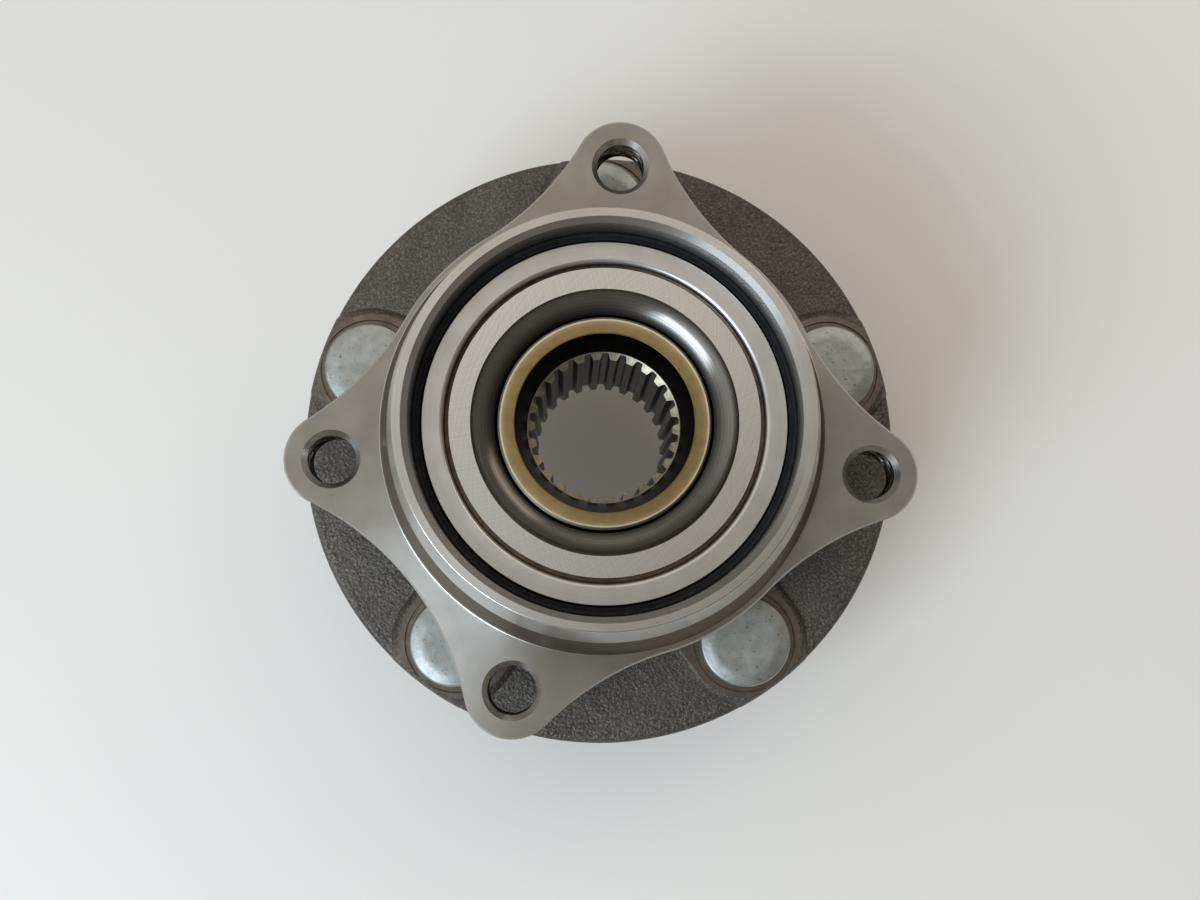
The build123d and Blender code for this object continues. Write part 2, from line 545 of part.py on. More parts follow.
# ---- Outboard seal ----
def outboard_seal_case():
    """Steel insert pressed into the outer ring beside the hub flange."""
    bottom = OUTER_RING_BOTTOM + OUTBOARD_SEAL_DEPTH
    outer = SEAL_BORE_RADIUS
    top = bottom + OUTBOARD_SEAL_LENGTH
    inner = HIGH_SHOULDER_RADIUS + CASE_INNER_GAP + SIDE_LIP_ROOT
    return turned(
        (inner, top - SHEET),
        (outer - SHEET, top - SHEET),
        (outer - SHEET, bottom),
        (outer, bottom),
        (outer, top, 0.6),
        (inner, top),
    )


def outboard_seal_rubber():
    """Rubber bonded on that case: a rim over the ring's end, a lip on the neck and a lip at the flange."""
    case_bottom = OUTER_RING_BOTTOM + OUTBOARD_SEAL_DEPTH
    case_top = case_bottom + OUTBOARD_SEAL_LENGTH
    wall = SEAL_BORE_RADIUS - SHEET
    inner = HIGH_SHOULDER_RADIUS + CASE_INNER_GAP + SIDE_LIP_ROOT
    neck = HIGH_SHOULDER_RADIUS
    underside = case_top - SHEET
    return turned(
        (inner, case_top),
        (inner, underside),
        (wall, underside),
        (wall, case_bottom),
        (SEAL_BORE_RADIUS, case_bottom),
        (SEAL_BORE_RADIUS, OUTER_RING_BOTTOM - 0.9),
        (SEAL_BORE_RADIUS + 0.9, SEAL_LAND_HEIGHT + SEAL_GAP),
        (SEAL_BORE_RADIUS + 0.2, SEAL_LAND_HEIGHT + SEAL_GAP),
        (wall - 0.9, OUTER_RING_BOTTOM + 0.2),
        (wall - 0.9, underside - LIP_THICKNESS),
        (inner + 0.6, underside - LIP_THICKNESS),
        (neck + SEAL_GAP + 0.3, underside - 2.2),
        (neck + SEAL_GAP, underside - 1.5),
        (neck + RADIAL_LIP_REACH, case_top),
    )


# ---- Write every piece ----
def pieces():
    """Every separate piece of the unit, by name."""
    made = {
        "hub": hub(),
        "inner_ring": inner_ring(),
        "outer_ring": outer_ring(),
        "inboard_cage": cage(INBOARD_ROW_HEIGHT, 1),
        "outboard_cage": cage(OUTBOARD_ROW_HEIGHT, -1),
        "inboard_seal_slinger": slinger(),
        "inboard_seal_case": inboard_seal_case(),
        "inboard_seal_rubber": inboard_seal_rubber(),
        "outboard_seal_case": outboard_seal_case(),
        "outboard_seal_rubber": outboard_seal_rubber(),
    }
    for number, angle in enumerate(stud_angles(), start=1):
        made[f"wheel_stud_{number}"] = at_polar(STUD_PITCH_RADIUS, angle) * wheel_stud()
    for row, height in (("inboard", INBOARD_ROW_HEIGHT), ("outboard", OUTBOARD_ROW_HEIGHT)):
        for number, angle in enumerate(ball_angles(), start=1):
            made[f"{row}_ball_{number:02d}"] = ball(height, angle)
    return made


os.makedirs("parts", exist_ok=True)
for name, piece in pieces().items():
    export_step(piece, f"parts/{name}.step")
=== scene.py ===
from math import cos, hypot, pi, radians, sin, sqrt, tan

import bmesh
import bpy
from mathutils import Matrix, Vector


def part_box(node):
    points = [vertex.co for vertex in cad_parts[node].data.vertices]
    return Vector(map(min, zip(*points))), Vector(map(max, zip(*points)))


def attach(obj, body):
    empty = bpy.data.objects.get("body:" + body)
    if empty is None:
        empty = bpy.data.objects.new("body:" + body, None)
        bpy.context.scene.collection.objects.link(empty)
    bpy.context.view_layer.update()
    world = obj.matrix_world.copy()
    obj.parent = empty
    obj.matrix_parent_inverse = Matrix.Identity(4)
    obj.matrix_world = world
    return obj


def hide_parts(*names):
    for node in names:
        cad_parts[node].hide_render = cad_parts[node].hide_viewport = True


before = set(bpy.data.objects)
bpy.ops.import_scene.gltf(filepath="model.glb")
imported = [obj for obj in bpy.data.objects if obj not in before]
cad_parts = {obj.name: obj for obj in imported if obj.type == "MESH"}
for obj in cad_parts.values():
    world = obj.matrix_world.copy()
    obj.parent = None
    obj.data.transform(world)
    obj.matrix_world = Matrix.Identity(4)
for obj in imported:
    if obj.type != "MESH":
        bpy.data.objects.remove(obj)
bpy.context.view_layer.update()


# ---- Room ----
# A pale bench top, on which the unit stands on the tips of its wheel studs. A cool window faces it from one
# side with a broad glow next to it, a warmer glow comes from the back wall, and the room is dim overhead.
BENCH_HALF = 20.0
BENCH_CORNERS = ((-1, -1), (1, -1), (1, 1), (-1, 1))
WINDOW_AZIMUTH, WINDOW_HEIGHT = 222, 45
GLOW_AZIMUTH, GLOW_HEIGHT = 186, 42
BACK_AZIMUTH, BACK_HEIGHT = 90, 55
FAR_AZIMUTH, FAR_HEIGHT = 42, 42
MIX_UNDER, MIX_OVER, MIX_RESULT = 6, 7, 2  # the colour sockets of a mix node

scene = bpy.context.scene
scene.view_settings.view_transform = "Standard"
bench_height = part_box("wheel_stud_1")[0][2]


def put(name, data):
    """Puts a mesh, a lamp or a camera into the scene as an object."""
    made = bpy.data.objects.new(name, data)
    scene.collection.objects.link(made)
    return made


def surface(name, roughness):
    """New material and its shader, with only the roughness set."""
    material = bpy.data.materials.new(name)
    material.use_nodes = True
    shader = material.node_tree.nodes["Principled BSDF"]
    shader.inputs["Roughness"].default_value = roughness
    return material, shader


bench_corners = [(x * BENCH_HALF, y * BENCH_HALF, bench_height) for x, y in BENCH_CORNERS]
bench_mesh = bpy.data.meshes.new("bench_top")
bench_mesh.from_pydata(bench_corners, [], [(0, 1, 2, 3)])
bench = put("bench_top", bench_mesh)
bench_paint, bench_shader = surface("bench_paint", roughness=0.55)
bench_shader.inputs["Base Color"].default_value = (0.84, 0.80, 0.745, 1)
bench_mesh.materials.append(bench_paint)


def node_of(owner, kind, **settings):
    """Shader node in a material or the room; settings are its properties, or inputs after in_."""
    node = owner.node_tree.nodes.new(kind)
    for key, value in settings.items():
        if key.startswith("in_"):
            node.inputs[key.removeprefix("in_").replace("_", " ")].default_value = value
        else:
            setattr(node, key, value)
    return node


def join(owner, output, socket):
    owner.node_tree.links.new(output, socket)


def spread(owner, value, low, high, steps):
    """Colour ramp over a value between low and high; steps are pairs of position and colour."""
    scaled = node_of(owner, "ShaderNodeMapRange", in_From_Min=low, in_From_Max=high)
    join(owner, value, scaled.inputs["Value"])
    ramp = node_of(owner, "ShaderNodeValToRGB")
    while len(ramp.color_ramp.elements) < len(steps):
        ramp.color_ramp.elements.new(0.5)
    for element, (position, colour) in zip(ramp.color_ramp.elements, steps):
        element.position = position
        element.color = (*colour, 1)
    join(owner, scaled.outputs["Result"], ramp.inputs["Fac"])
    return ramp.outputs["Color"]


def direction(azimuth, height):
    """Unit vector towards an azimuth round the spin axis and a height over the bench, both in degrees."""
    level = cos(radians(height))
    return Vector((cos(radians(azimuth)) * level, sin(radians(azimuth)) * level, sin(radians(height))))


room = bpy.data.worlds.new("room")
room.use_nodes = True
scene.world = room
room_place = node_of(room, "ShaderNodeTexCoord").outputs["Generated"]
room_height = node_of(room, "ShaderNodeSeparateXYZ")
join(room, room_place, room_height.inputs["Vector"])
walls = spread(room, room_height.outputs["Z"], 0, 1, [
    (0, (0.17, 0.155, 0.14)), (0.55, (0.27, 0.255, 0.235)), (1, (0.17, 0.16, 0.15)),
])


def with_glow(under, towards, edge, colour):
    """Adds a soft round glow to the walls; edge is the cosine of the angle at which it has faded out."""
    facing = node_of(room, "ShaderNodeVectorMath", operation="DOT_PRODUCT")
    facing.inputs[1].default_value = towards
    join(room, room_place, facing.inputs[0])
    glow = node_of(room, "ShaderNodeMapRange", interpolation_type="SMOOTHSTEP", in_From_Min=edge)
    join(room, facing.outputs["Value"], glow.inputs["Value"])
    lit = node_of(room, "ShaderNodeMix", data_type="RGBA", blend_type="ADD")
    lit.inputs[MIX_OVER].default_value = (*colour, 1)
    join(room, glow.outputs["Result"], lit.inputs["Factor"])
    join(room, under, lit.inputs[MIX_UNDER])
    return lit.outputs[MIX_RESULT]


walls = with_glow(walls, direction(GLOW_AZIMUTH, GLOW_HEIGHT), edge=0.5, colour=(0.60, 0.625, 0.65))
walls = with_glow(walls, direction(BACK_AZIMUTH, BACK_HEIGHT), edge=0.75, colour=(0.78, 0.745, 0.68))
join(room, walls, room.node_tree.nodes["Background"].inputs["Color"])


def soft_window(name, towards, distance, size, watts, colour):
    """Rectangular light that stands in one direction from the unit and faces it."""
    lamp = bpy.data.lights.new(name, "AREA")
    lamp.shape = "RECTANGLE"
    lamp.size, lamp.size_y = size
    lamp.energy = watts
    lamp.color = colour
    holder = put(name, lamp)
    holder.location = towards * distance
    holder.rotation_euler = (-holder.location).to_track_quat("-Z", "Y").to_euler()


soft_window("window", direction(WINDOW_AZIMUTH, WINDOW_HEIGHT),
            distance=1.0, size=(0.5, 0.4), watts=6.0, colour=(0.68, 0.84, 1.0))
soft_window("far_wall", direction(FAR_AZIMUTH, FAR_HEIGHT),
            distance=1.1, size=(0.5, 0.35), watts=1.0, colour=(1.0, 0.93, 0.82))


# ---- Camera ----
# It looks down the spin axis from the inboard side, tipped a little towards the near edge of the bench.
# The axis vanishing point and one known point on the axis fix its direction and its distance.
MM = 0.001
FRAME_WIDTH, FRAME_HEIGHT = 1200, 900
FOCAL_PIXELS = 1400
SENSOR_WIDTH = 36
NEAREST_SEEN = 0.01
AXIS_VANISHES_AT = (568, 600)
FLANGE_FACE_PIXEL = (600.1, 444.7)
FLANGE_FACE_HEIGHT = 9.0 * MM
FLANGE_FACE_DEPTH = 333.2 * MM

lens = bpy.data.cameras.new("camera")
lens.sensor_width = SENSOR_WIDTH
lens.lens = FOCAL_PIXELS / FRAME_WIDTH * SENSOR_WIDTH
lens.clip_start = NEAREST_SEEN
camera = put("camera", lens)
scene.camera = camera


def seen_through(pixel):
    """Direction of a pixel in the camera's own axes, with one unit of depth."""
    across = pixel[0] - FRAME_WIDTH / 2
    down = pixel[1] - FRAME_HEIGHT / 2
    return Vector((across / FOCAL_PIXELS, -down / FOCAL_PIXELS, -1))


axis_up = -seen_through(AXIS_VANISHES_AT).normalized()
axis_right = (Vector((1, 0, 0)) - axis_up * axis_up.x).normalized()
axis_back = axis_up.cross(axis_right)
turn = Matrix((axis_right, axis_back, axis_up))
flange_point = turn @ (seen_through(FLANGE_FACE_PIXEL) * FLANGE_FACE_DEPTH)
camera_place = Vector((0, 0, FLANGE_FACE_HEIGHT)) - flange_point
camera.matrix_world = Matrix.Translation(camera_place) @ turn.to_4x4()


# ---- Hub ----
# One steel forging, shot-blasted where it is left raw. The wheel face, the neck and the nose are machined,
# the flat tops of the stud pads keep a smooth brown skin, and the bore is broached with 26 teeth. Grinding
# heat has tinted the nose straw.
NOSE_SETBACK = 2.2
HUB_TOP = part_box("inner_ring")[1][2] / MM - NOSE_SETBACK
FLANGE_RADIUS, RIM_FACE, WEB_FACE = 70.0, 9.0, 9.4
RIM_ROUNDING, WEB_BLEND, WHEEL_FACE_CHAMFER = 1.6, 12.0, 0.8
SPIGOT_RADIUS, SPIGOT_END, SPIGOT_LEAD_IN = 33.5, -12.0, (1.5, 3.0)
SPIGOT_ROUNDING, EDGE_ROUNDING = 0.8, 0.6
RELIEF_RADIUS, RELIEF_DEPTH = 35.1, 0.7
NUT_SEAT, NUT_SEAT_RADIUS, NUT_SEAT_FILLET = -1.0, 25.0, 1.5
NUT_RECESS_RADIUS, NUT_RECESS_LAND = 27.5, -8.0
NECK_FOOT, NECK_FOOT_BLEND = 45.7, 2.0
NECK_RADIUS, NECK_FACE, NECK_ROUNDING, NECK_FILLET = 41.7, 10.4, 1.0, 2.5
RACE_RADIUS, RACE_TOP = 33.3, 24.9
SHOULDER_RADIUS, SHOULDER_TOP = 28.5, 32.5
NOSE_RADIUS, NOSE_EDGE, NOSE_ROUNDING = 22.3, 0.4, 0.15
CONE_RADIUS, CONE_DEPTH = 18.8, 7.7
COUNTERBORE_RADIUS, COUNTERBORE_DEPTH = 16.35, 8.2
TOOTH_END_RADIUS, TOOTH_END_DEPTH = 14.3, 9.4
SPLINE_BORE = 13.2
STUD_CIRCLE, STUD_COUNT = 114.3 / 2, 5
RING_STEPS, CORNER_STEPS = 240, 6
ROOT_FLAT, FLANK_SHARE = 0.125, 0.75
MERGED_WITHIN = 1e-7


def rounded(corners, closed=True):
    """Outline through the corners; a corner's third number rounds it."""
    points = []
    for index, corner in enumerate(corners):
        point = Vector(corner[:2])
        if len(corner) < 3 or (not closed and index in (0, len(corners) - 1)):
            points.append(point)
            continue
        before = (Vector(corners[index - 1][:2]) - point).normalized()
        after = (Vector(corners[(index + 1) % len(corners)][:2]) - point).normalized()
        half = before.angle(after) / 2
        centre = point + (before + after).normalized() * corner[2] / sin(half)
        start = point + before * corner[2] / tan(half) - centre
        end = point + after * corner[2] / tan(half) - centre
        for step in range(CORNER_STEPS + 1):
            points.append(centre + start.lerp(end, step / CORNER_STEPS).normalized() * corner[2])
    return [(point.x, point.y) for point in points]


def thread_crest(position):
    """Height of a vee thread, from 0 at its root to 1 at its crest, at a position counted in pitches."""
    ridge = 1 - abs(2 * (position % 1) - 1)
    return min(1, max(0, (ridge - ROOT_FLAT) / FLANK_SHARE))


def solid_mesh(name, points, faces):
    """Closed mesh from points in millimetres, with its faces turned outward."""
    mesh = bpy.data.meshes.new(name)
    mesh.from_pydata([(x * MM, y * MM, z * MM) for x, y, z in points], [], faces)
    work = bmesh.new()
    work.from_mesh(mesh)
    bmesh.ops.remove_doubles(work, verts=work.verts, dist=MERGED_WITHIN)
    bmesh.ops.dissolve_degenerate(work, edges=work.edges, dist=MERGED_WITHIN)
    bmesh.ops.recalc_face_normals(work, faces=work.faces)
    work.to_mesh(mesh)
    work.free()
    return mesh


def turned_mesh(name, rows, closed=True, steps=RING_STEPS, pitch=None):
    """Turned shape from rows of radius and height; a third number is the depth of a thread cut there."""
    points, faces = [], []
    for radius, height, *depth in rows:
        for step in range(steps):
            angle = 2 * pi * step / steps
            cut = depth[0] * (1 - thread_crest(height / pitch - step / steps)) if depth else 0
            points.append(((radius - cut) * cos(angle), (radius - cut) * sin(angle), height))
    for row in range(len(rows) if closed else len(rows) - 1):
        below, above = row * steps, (row + 1) % len(rows) * steps
        for step in range(steps):
            following = (step + 1) % steps
            faces.append((below + step, below + following, above + following, above + step))
    return solid_mesh(name, points, faces)


def plate_mesh(name, sections):
    """Plate from equal outlines, each a list of points and a height, capped at both ends."""
    count = len(sections[0][0])
    points = [(x, y, height) for outline, height in sections for x, y in outline]
    faces = [tuple(range(count)), tuple(range(len(points) - count, len(points)))]
    for layer in range(len(sections) - 1):
        below, above = layer * count, (layer + 1) * count
        for step in range(count):
            following = (step + 1) % count
            faces.append((below + step, below + following, above + following, above + step))
    return solid_mesh(name, points, faces)


def around(radius, angle):
    """Place on a circle round the spin axis, turned to face outward."""
    return Matrix.Rotation(radians(angle), 4, "Z") @ Matrix.Translation((radius * MM, 0, 0))


def repeated(shapes, radius, angles):
    """One mesh with a copy of each shape at every angle on a circle round the spin axis."""
    work = bmesh.new()
    for shape in shapes:
        for angle in angles:
            copy = shape.copy()
            copy.transform(around(radius, angle))
            work.from_mesh(copy)
            bpy.data.meshes.remove(copy)
    mesh = bpy.data.meshes.new("repeated")
    work.to_mesh(mesh)
    work.free()
    return mesh


def combine(target, tool_mesh, operation):
    """Cuts or adds a tool shape and keeps the result as the target's own mesh."""
    tool = put("tool", tool_mesh)
    step = target.modifiers.new("combine", "BOOLEAN")
    step.operation, step.object, step.solver = operation, tool, "EXACT"
    result = bpy.data.meshes.new_from_object(target.evaluated_get(bpy.context.evaluated_depsgraph_get()))
    target.modifiers.clear()
    target.data = result
    bpy.data.objects.remove(tool)


def smooth_faces(made, sharp_angle=30):
    """Rounds the shading of gentle bends and keeps machined edges crisp."""
    made.data.shade_smooth()
    made.data.set_sharp_from_angle(angle=radians(sharp_angle))
    weighting = made.modifiers.new("weighting", "WEIGHTED_NORMAL")
    weighting.keep_sharp = True


def give_finishes(made, finishes, finish_of):
    """Gives each face of a piece the finish that is picked for it."""
    for finish in finishes:
        made.data.materials.append(finish)
    for face in made.data.polygons:
        face.material_index = finishes.index(finish_of(face))


hub_rows = rounded([
    (SPLINE_BORE, NUT_SEAT), (NUT_SEAT_RADIUS, NUT_SEAT, NUT_SEAT_FILLET),
    (NUT_RECESS_RADIUS, NUT_RECESS_LAND), (NUT_RECESS_RADIUS, SPIGOT_END, EDGE_ROUNDING),
    (SPIGOT_RADIUS - SPIGOT_LEAD_IN[0], SPIGOT_END, EDGE_ROUNDING),
    (SPIGOT_RADIUS, SPIGOT_END + SPIGOT_LEAD_IN[1], SPIGOT_ROUNDING),
    (SPIGOT_RADIUS, RELIEF_DEPTH), (RELIEF_RADIUS, RELIEF_DEPTH), (RELIEF_RADIUS, 0.0),
    (FLANGE_RADIUS - WHEEL_FACE_CHAMFER, 0.0), (FLANGE_RADIUS, WHEEL_FACE_CHAMFER),
    (FLANGE_RADIUS, RIM_FACE, RIM_ROUNDING), (STUD_CIRCLE, WEB_FACE, WEB_BLEND),
    (NECK_FOOT, WEB_FACE, NECK_FOOT_BLEND), (NECK_RADIUS, NECK_FACE, NECK_ROUNDING),
    (RACE_RADIUS + NECK_FILLET, NECK_FACE), (RACE_RADIUS, NECK_FACE + NECK_FILLET),
    (RACE_RADIUS, RACE_TOP), (SHOULDER_RADIUS, RACE_TOP), (SHOULDER_RADIUS, SHOULDER_TOP),
    (NOSE_RADIUS, SHOULDER_TOP), (NOSE_RADIUS, HUB_TOP - NOSE_EDGE), (NOSE_RADIUS - NOSE_EDGE, HUB_TOP),
    (CONE_RADIUS, HUB_TOP, NOSE_ROUNDING), (COUNTERBORE_RADIUS, HUB_TOP - CONE_DEPTH),
    (COUNTERBORE_RADIUS, HUB_TOP - COUNTERBORE_DEPTH), (TOOTH_END_RADIUS, HUB_TOP - TOOTH_END_DEPTH),
    (SPLINE_BORE, HUB_TOP - TOOTH_END_DEPTH),
])
hub = put("hub_forging", turned_mesh("hub_forging", hub_rows))
stud_angles = [90 + 360 / STUD_COUNT * index for index in range(STUD_COUNT)]

PAD_FACE, PAD_REACH, PAD_STEPS = 11.0, 16, 36
PAD_FLANK = [
    (15.6, WEB_FACE - 1.4), (15.0, WEB_FACE - 0.1), (14.2, WEB_FACE + 0.9),
    (13.6, PAD_FACE - 0.2), (13.2, PAD_FACE),
]


def pad_outline(half_width):
    """Outline of a raised stud pad: round outside, with straight sides that run in towards the neck."""
    arc = [radians(-90 + 180 * step / PAD_STEPS) for step in range(PAD_STEPS + 1)]
    outside = [(half_width * cos(angle), half_width * sin(angle)) for angle in arc]
    return outside + [(-PAD_REACH, half_width), (-PAD_REACH, -half_width)]


pad = plate_mesh("pad", [(pad_outline(half_width), height) for half_width, height in PAD_FLANK])
combine(hub, repeated([pad], STUD_CIRCLE, stud_angles), "UNION")

TRIM_RADIUS, TRIM_BOTTOM, TRIM_TOP = 90.0, 2.0, 20.0
PAD_SLOPE = [(67.6, TRIM_TOP), (68.4, 11.2), (69.5, 10.0), (FLANGE_RADIUS, 8.6)]
trim_rows = [(FLANGE_RADIUS, TRIM_BOTTOM), (TRIM_RADIUS, TRIM_BOTTOM), (TRIM_RADIUS, TRIM_TOP)] + PAD_SLOPE
combine(hub, turned_mesh("rim_trim", trim_rows), "DIFFERENCE")

CLEARED_INSIDE, CLEARED_OUTSIDE = 34.5, 45.6
CLEARED_FACE, CLEARED_TOP = 10.45, 30.0
neck_rows = [
    (CLEARED_INSIDE, CLEARED_FACE), (CLEARED_OUTSIDE, CLEARED_FACE),
    (CLEARED_OUTSIDE, CLEARED_TOP), (CLEARED_INSIDE, CLEARED_TOP),
]
combine(hub, turned_mesh("neck_trim", neck_rows), "DIFFERENCE")

SEAT_FACE, SEAT_RADIUS, SEAT_TOOL_RADIUS, SEAT_TOOL_TOP = 10.5, 11.8, 12.5, 14.0
seat_rows = [(0, SEAT_FACE), (SEAT_RADIUS, SEAT_FACE), (SEAT_TOOL_RADIUS, SEAT_TOOL_TOP), (0, SEAT_TOOL_TOP)]
seat = turned_mesh("seat", seat_rows, closed=False, steps=96)
combine(hub, repeated([seat], STUD_CIRCLE, stud_angles), "DIFFERENCE")

STUD_HOLE_RADIUS, STUD_HOLE_START, STUD_HOLE_END = 6.45, -3, 12
hole_rows = [
    (0, STUD_HOLE_START), (STUD_HOLE_RADIUS, STUD_HOLE_START),
    (STUD_HOLE_RADIUS, STUD_HOLE_END), (0, STUD_HOLE_END),
]
stud_hole = turned_mesh("stud_hole", hole_rows, closed=False, steps=64)
combine(hub, repeated([stud_hole], STUD_CIRCLE, stud_angles), "DIFFERENCE")

TEETH, TOOTH_PHASE = 26, 5.48
TOOTH_TIP, TOOTH_ROOT, ROOT_CROWN = 14.8, 16.1, 0.05
TIP_END, TIP_SHARE, ROOT_SHARE = 0.72, 0.60, 0.34
BROACH_START, BROACH_END = -4, HUB_TOP - 8.0
tooth_space = [
    (TOOTH_TIP, -TIP_END), (TOOTH_TIP, -TIP_SHARE), (TOOTH_ROOT, -ROOT_SHARE), (TOOTH_ROOT + ROOT_CROWN, 0),
    (TOOTH_ROOT, ROOT_SHARE), (TOOTH_TIP, TIP_SHARE), (TOOTH_TIP, TIP_END),
]
spline_outline = []
for tooth in range(TEETH):
    middle = radians(TOOTH_PHASE + 360 / TEETH * tooth)
    for radius, share in tooth_space:
        angle = middle + share * pi / TEETH
        spline_outline.append((radius * cos(angle), radius * sin(angle)))
broach = plate_mesh("broach", [(spline_outline, BROACH_START), (spline_outline, BROACH_END)])
combine(hub, broach, "DIFFERENCE")


QUARTER_TURN = 0.25


def metal(name, roughness, anisotropy=0.0):
    """Bare metal; anisotropy draws its highlight out across the turning marks."""
    material, shader = surface(name, roughness)
    shader.inputs["Metallic"].default_value = 1.0
    if anisotropy:
        shader.inputs["Anisotropic"].default_value = anisotropy
        shader.inputs["Anisotropic Rotation"].default_value = QUARTER_TURN
        tangent = node_of(material, "ShaderNodeTangent", direction_type="RADIAL", axis="Z")
        join(material, tangent.outputs["Tangent"], shader.inputs["Tangent"])
    return material, shader


def place_in(material):
    return node_of(material, "ShaderNodeTexCoord").outputs["Object"]


def radius_in(material, centre=(0, 0)):
    """Distance from an upright axis through a point given in millimetres."""
    flat = node_of(material, "ShaderNodeVectorMath", operation="MULTIPLY_ADD")
    flat.inputs[1].default_value = (1, 1, 0)
    flat.inputs[2].default_value = (-centre[0] * MM, -centre[1] * MM, 0)
    join(material, place_in(material), flat.inputs[0])
    length = node_of(material, "ShaderNodeVectorMath", operation="LENGTH")
    join(material, flat.outputs["Vector"], length.inputs[0])
    return length.outputs["Value"]


def blotches(material, size, detail=4):
    """Uneven three-dimensional pattern; size is about one patch, in millimetres."""
    noise = node_of(material, "ShaderNodeTexNoise", in_Scale=1 / (size * MM), in_Detail=detail)
    join(material, place_in(material), noise.inputs["Vector"])
    return noise.outputs["Fac"]


def lines(material, distance, spacing):
    """Uneven fine lines across a distance; spacing is about one line, in millimetres."""
    density = 1 / (spacing * MM)
    noise = node_of(material, "ShaderNodeTexNoise", noise_dimensions="1D", in_Scale=density, in_Detail=3)
    join(material, distance, noise.inputs["W"])
    return noise.outputs["Fac"]


def turning_marks(material, spacing):
    """Uneven fine lines round the spin axis, as a lathe leaves them."""
    return lines(material, radius_in(material), spacing)


def between(material, pattern, first, second, low=0.3, high=0.7):
    """Colour that goes from the first tone, where a pattern is low, to the second, where it is high."""
    return spread(material, pattern, low, high, [(0, first), (1, second)])


def coloured(material, shader, colour, over=None):
    """Sets the surface colour from a colour pattern, with a second one multiplied over it if there is one."""
    if over is not None:
        mix = node_of(material, "ShaderNodeMix", data_type="RGBA", blend_type="MULTIPLY", in_Factor=1.0)
        join(material, colour, mix.inputs[MIX_UNDER])
        join(material, over, mix.inputs[MIX_OVER])
        colour = mix.outputs[MIX_RESULT]
    join(material, colour, shader.inputs["Base Color"])


def relief(material, shader, height, depth):
    """Raises the surface by a pattern; depth is in millimetres."""
    bump = node_of(material, "ShaderNodeBump", in_Strength=1.0, in_Distance=depth * MM)
    join(material, height, bump.inputs["Height"])
    if shader.inputs["Normal"].links:
        join(material, shader.inputs["Normal"].links[0].from_socket, bump.inputs["Normal"])
    join(material, bump.outputs["Normal"], shader.inputs["Normal"])


raw_forging, raw_shader = metal("raw_forging", roughness=0.44)
raw_shader.inputs["Metallic"].default_value = 0.45
raw_tone = between(raw_forging, blotches(raw_forging, 14), (0.078, 0.066, 0.054), (0.114, 0.098, 0.081))
raw_grain = spread(raw_forging, blotches(raw_forging, 0.55, 5), 0.30, 0.70, [
    (0, (0.46, 0.45, 0.44)), (0.5, (0.90, 0.90, 0.89)), (1, (1.75, 1.75, 1.75)),
])
coloured(raw_forging, raw_shader, raw_tone, over=raw_grain)
relief(raw_forging, raw_shader, blotches(raw_forging, 0.75), depth=0.34)
relief(raw_forging, raw_shader, blotches(raw_forging, 4.0, 2), depth=0.30)

faced_steel, faced_shader = metal("faced_steel", roughness=0.36, anisotropy=0.5)
faced_tone = between(faced_steel, turning_marks(faced_steel, 0.5), (0.36, 0.34, 0.31), (0.50, 0.47, 0.44))
coloured(faced_steel, faced_shader, faced_tone)

TINT_START, TINT_END = 18.8 * MM, 21.9 * MM
nose_steel, nose_shader = metal("nose_steel", roughness=0.30, anisotropy=0.5)
nose_tint = spread(nose_steel, radius_in(nose_steel), TINT_START, TINT_END, [
    (0, (0.17, 0.117, 0.048)), (0.12, (0.26, 0.19, 0.083)), (0.6, (0.31, 0.23, 0.107)),
    (0.84, (0.39, 0.31, 0.175)), (0.93, (0.72, 0.66, 0.54)), (1, (0.60, 0.53, 0.41)),
])
nose_marks = between(nose_steel, blotches(nose_steel, 2.4), (0.88, 0.86, 0.84), (1.06, 1.06, 1.06))
coloured(nose_steel, nose_shader, nose_tint, over=nose_marks)

# The bore's lead-in cone is painted near black: painted shade inside the bore, with faint lines along it.
bore_cone_shade, cone_shader = metal("bore_cone_shade", roughness=0.22, anisotropy=0.3)
cone_place = node_of(bore_cone_shade, "ShaderNodeSeparateXYZ")
join(bore_cone_shade, place_in(bore_cone_shade), cone_place.inputs["Vector"])
cone_shade_tone = spread(bore_cone_shade, lines(bore_cone_shade, cone_place.outputs["Z"], 0.35), 0.3, 0.75, [
    (0, (0.012, 0.009, 0.007)), (0.8, (0.030, 0.023, 0.018)), (1, (0.085, 0.07, 0.055)),
])
coloured(bore_cone_shade, cone_shader, cone_shade_tone)

broached_steel, broached_shader = metal("broached_steel", roughness=0.36)
broached_marks = blotches(broached_steel, 2.2, 5)
broached_tone = between(broached_steel, broached_marks, (0.058, 0.058, 0.062), (0.122, 0.120, 0.118))
coloured(broached_steel, broached_shader, broached_tone)

tooth_ends, ends_shader = metal("tooth_ends", roughness=0.42)
ends_tone = between(tooth_ends, blotches(tooth_ends, 1.0), (0.20, 0.175, 0.125), (0.35, 0.31, 0.235))
coloured(tooth_ends, ends_shader, ends_tone)

pad_band, band_shader = metal("pad_band", roughness=0.42)
band_tone = between(pad_band, blotches(pad_band, 2.5, 5), (0.125, 0.103, 0.082), (0.185, 0.158, 0.130))
coloured(pad_band, band_shader, band_tone)
relief(pad_band, band_shader, blotches(pad_band, 0.6), depth=0.05)

SAME_FACE = 0.05
TOOTH_ENDS_FROM, TOOTH_ENDS_TO = -9.8, -8.0
CONE_END, NOSE_FACE = -9.0, -0.5
FACES_UP, LIES_FLAT = 0.3, 0.9


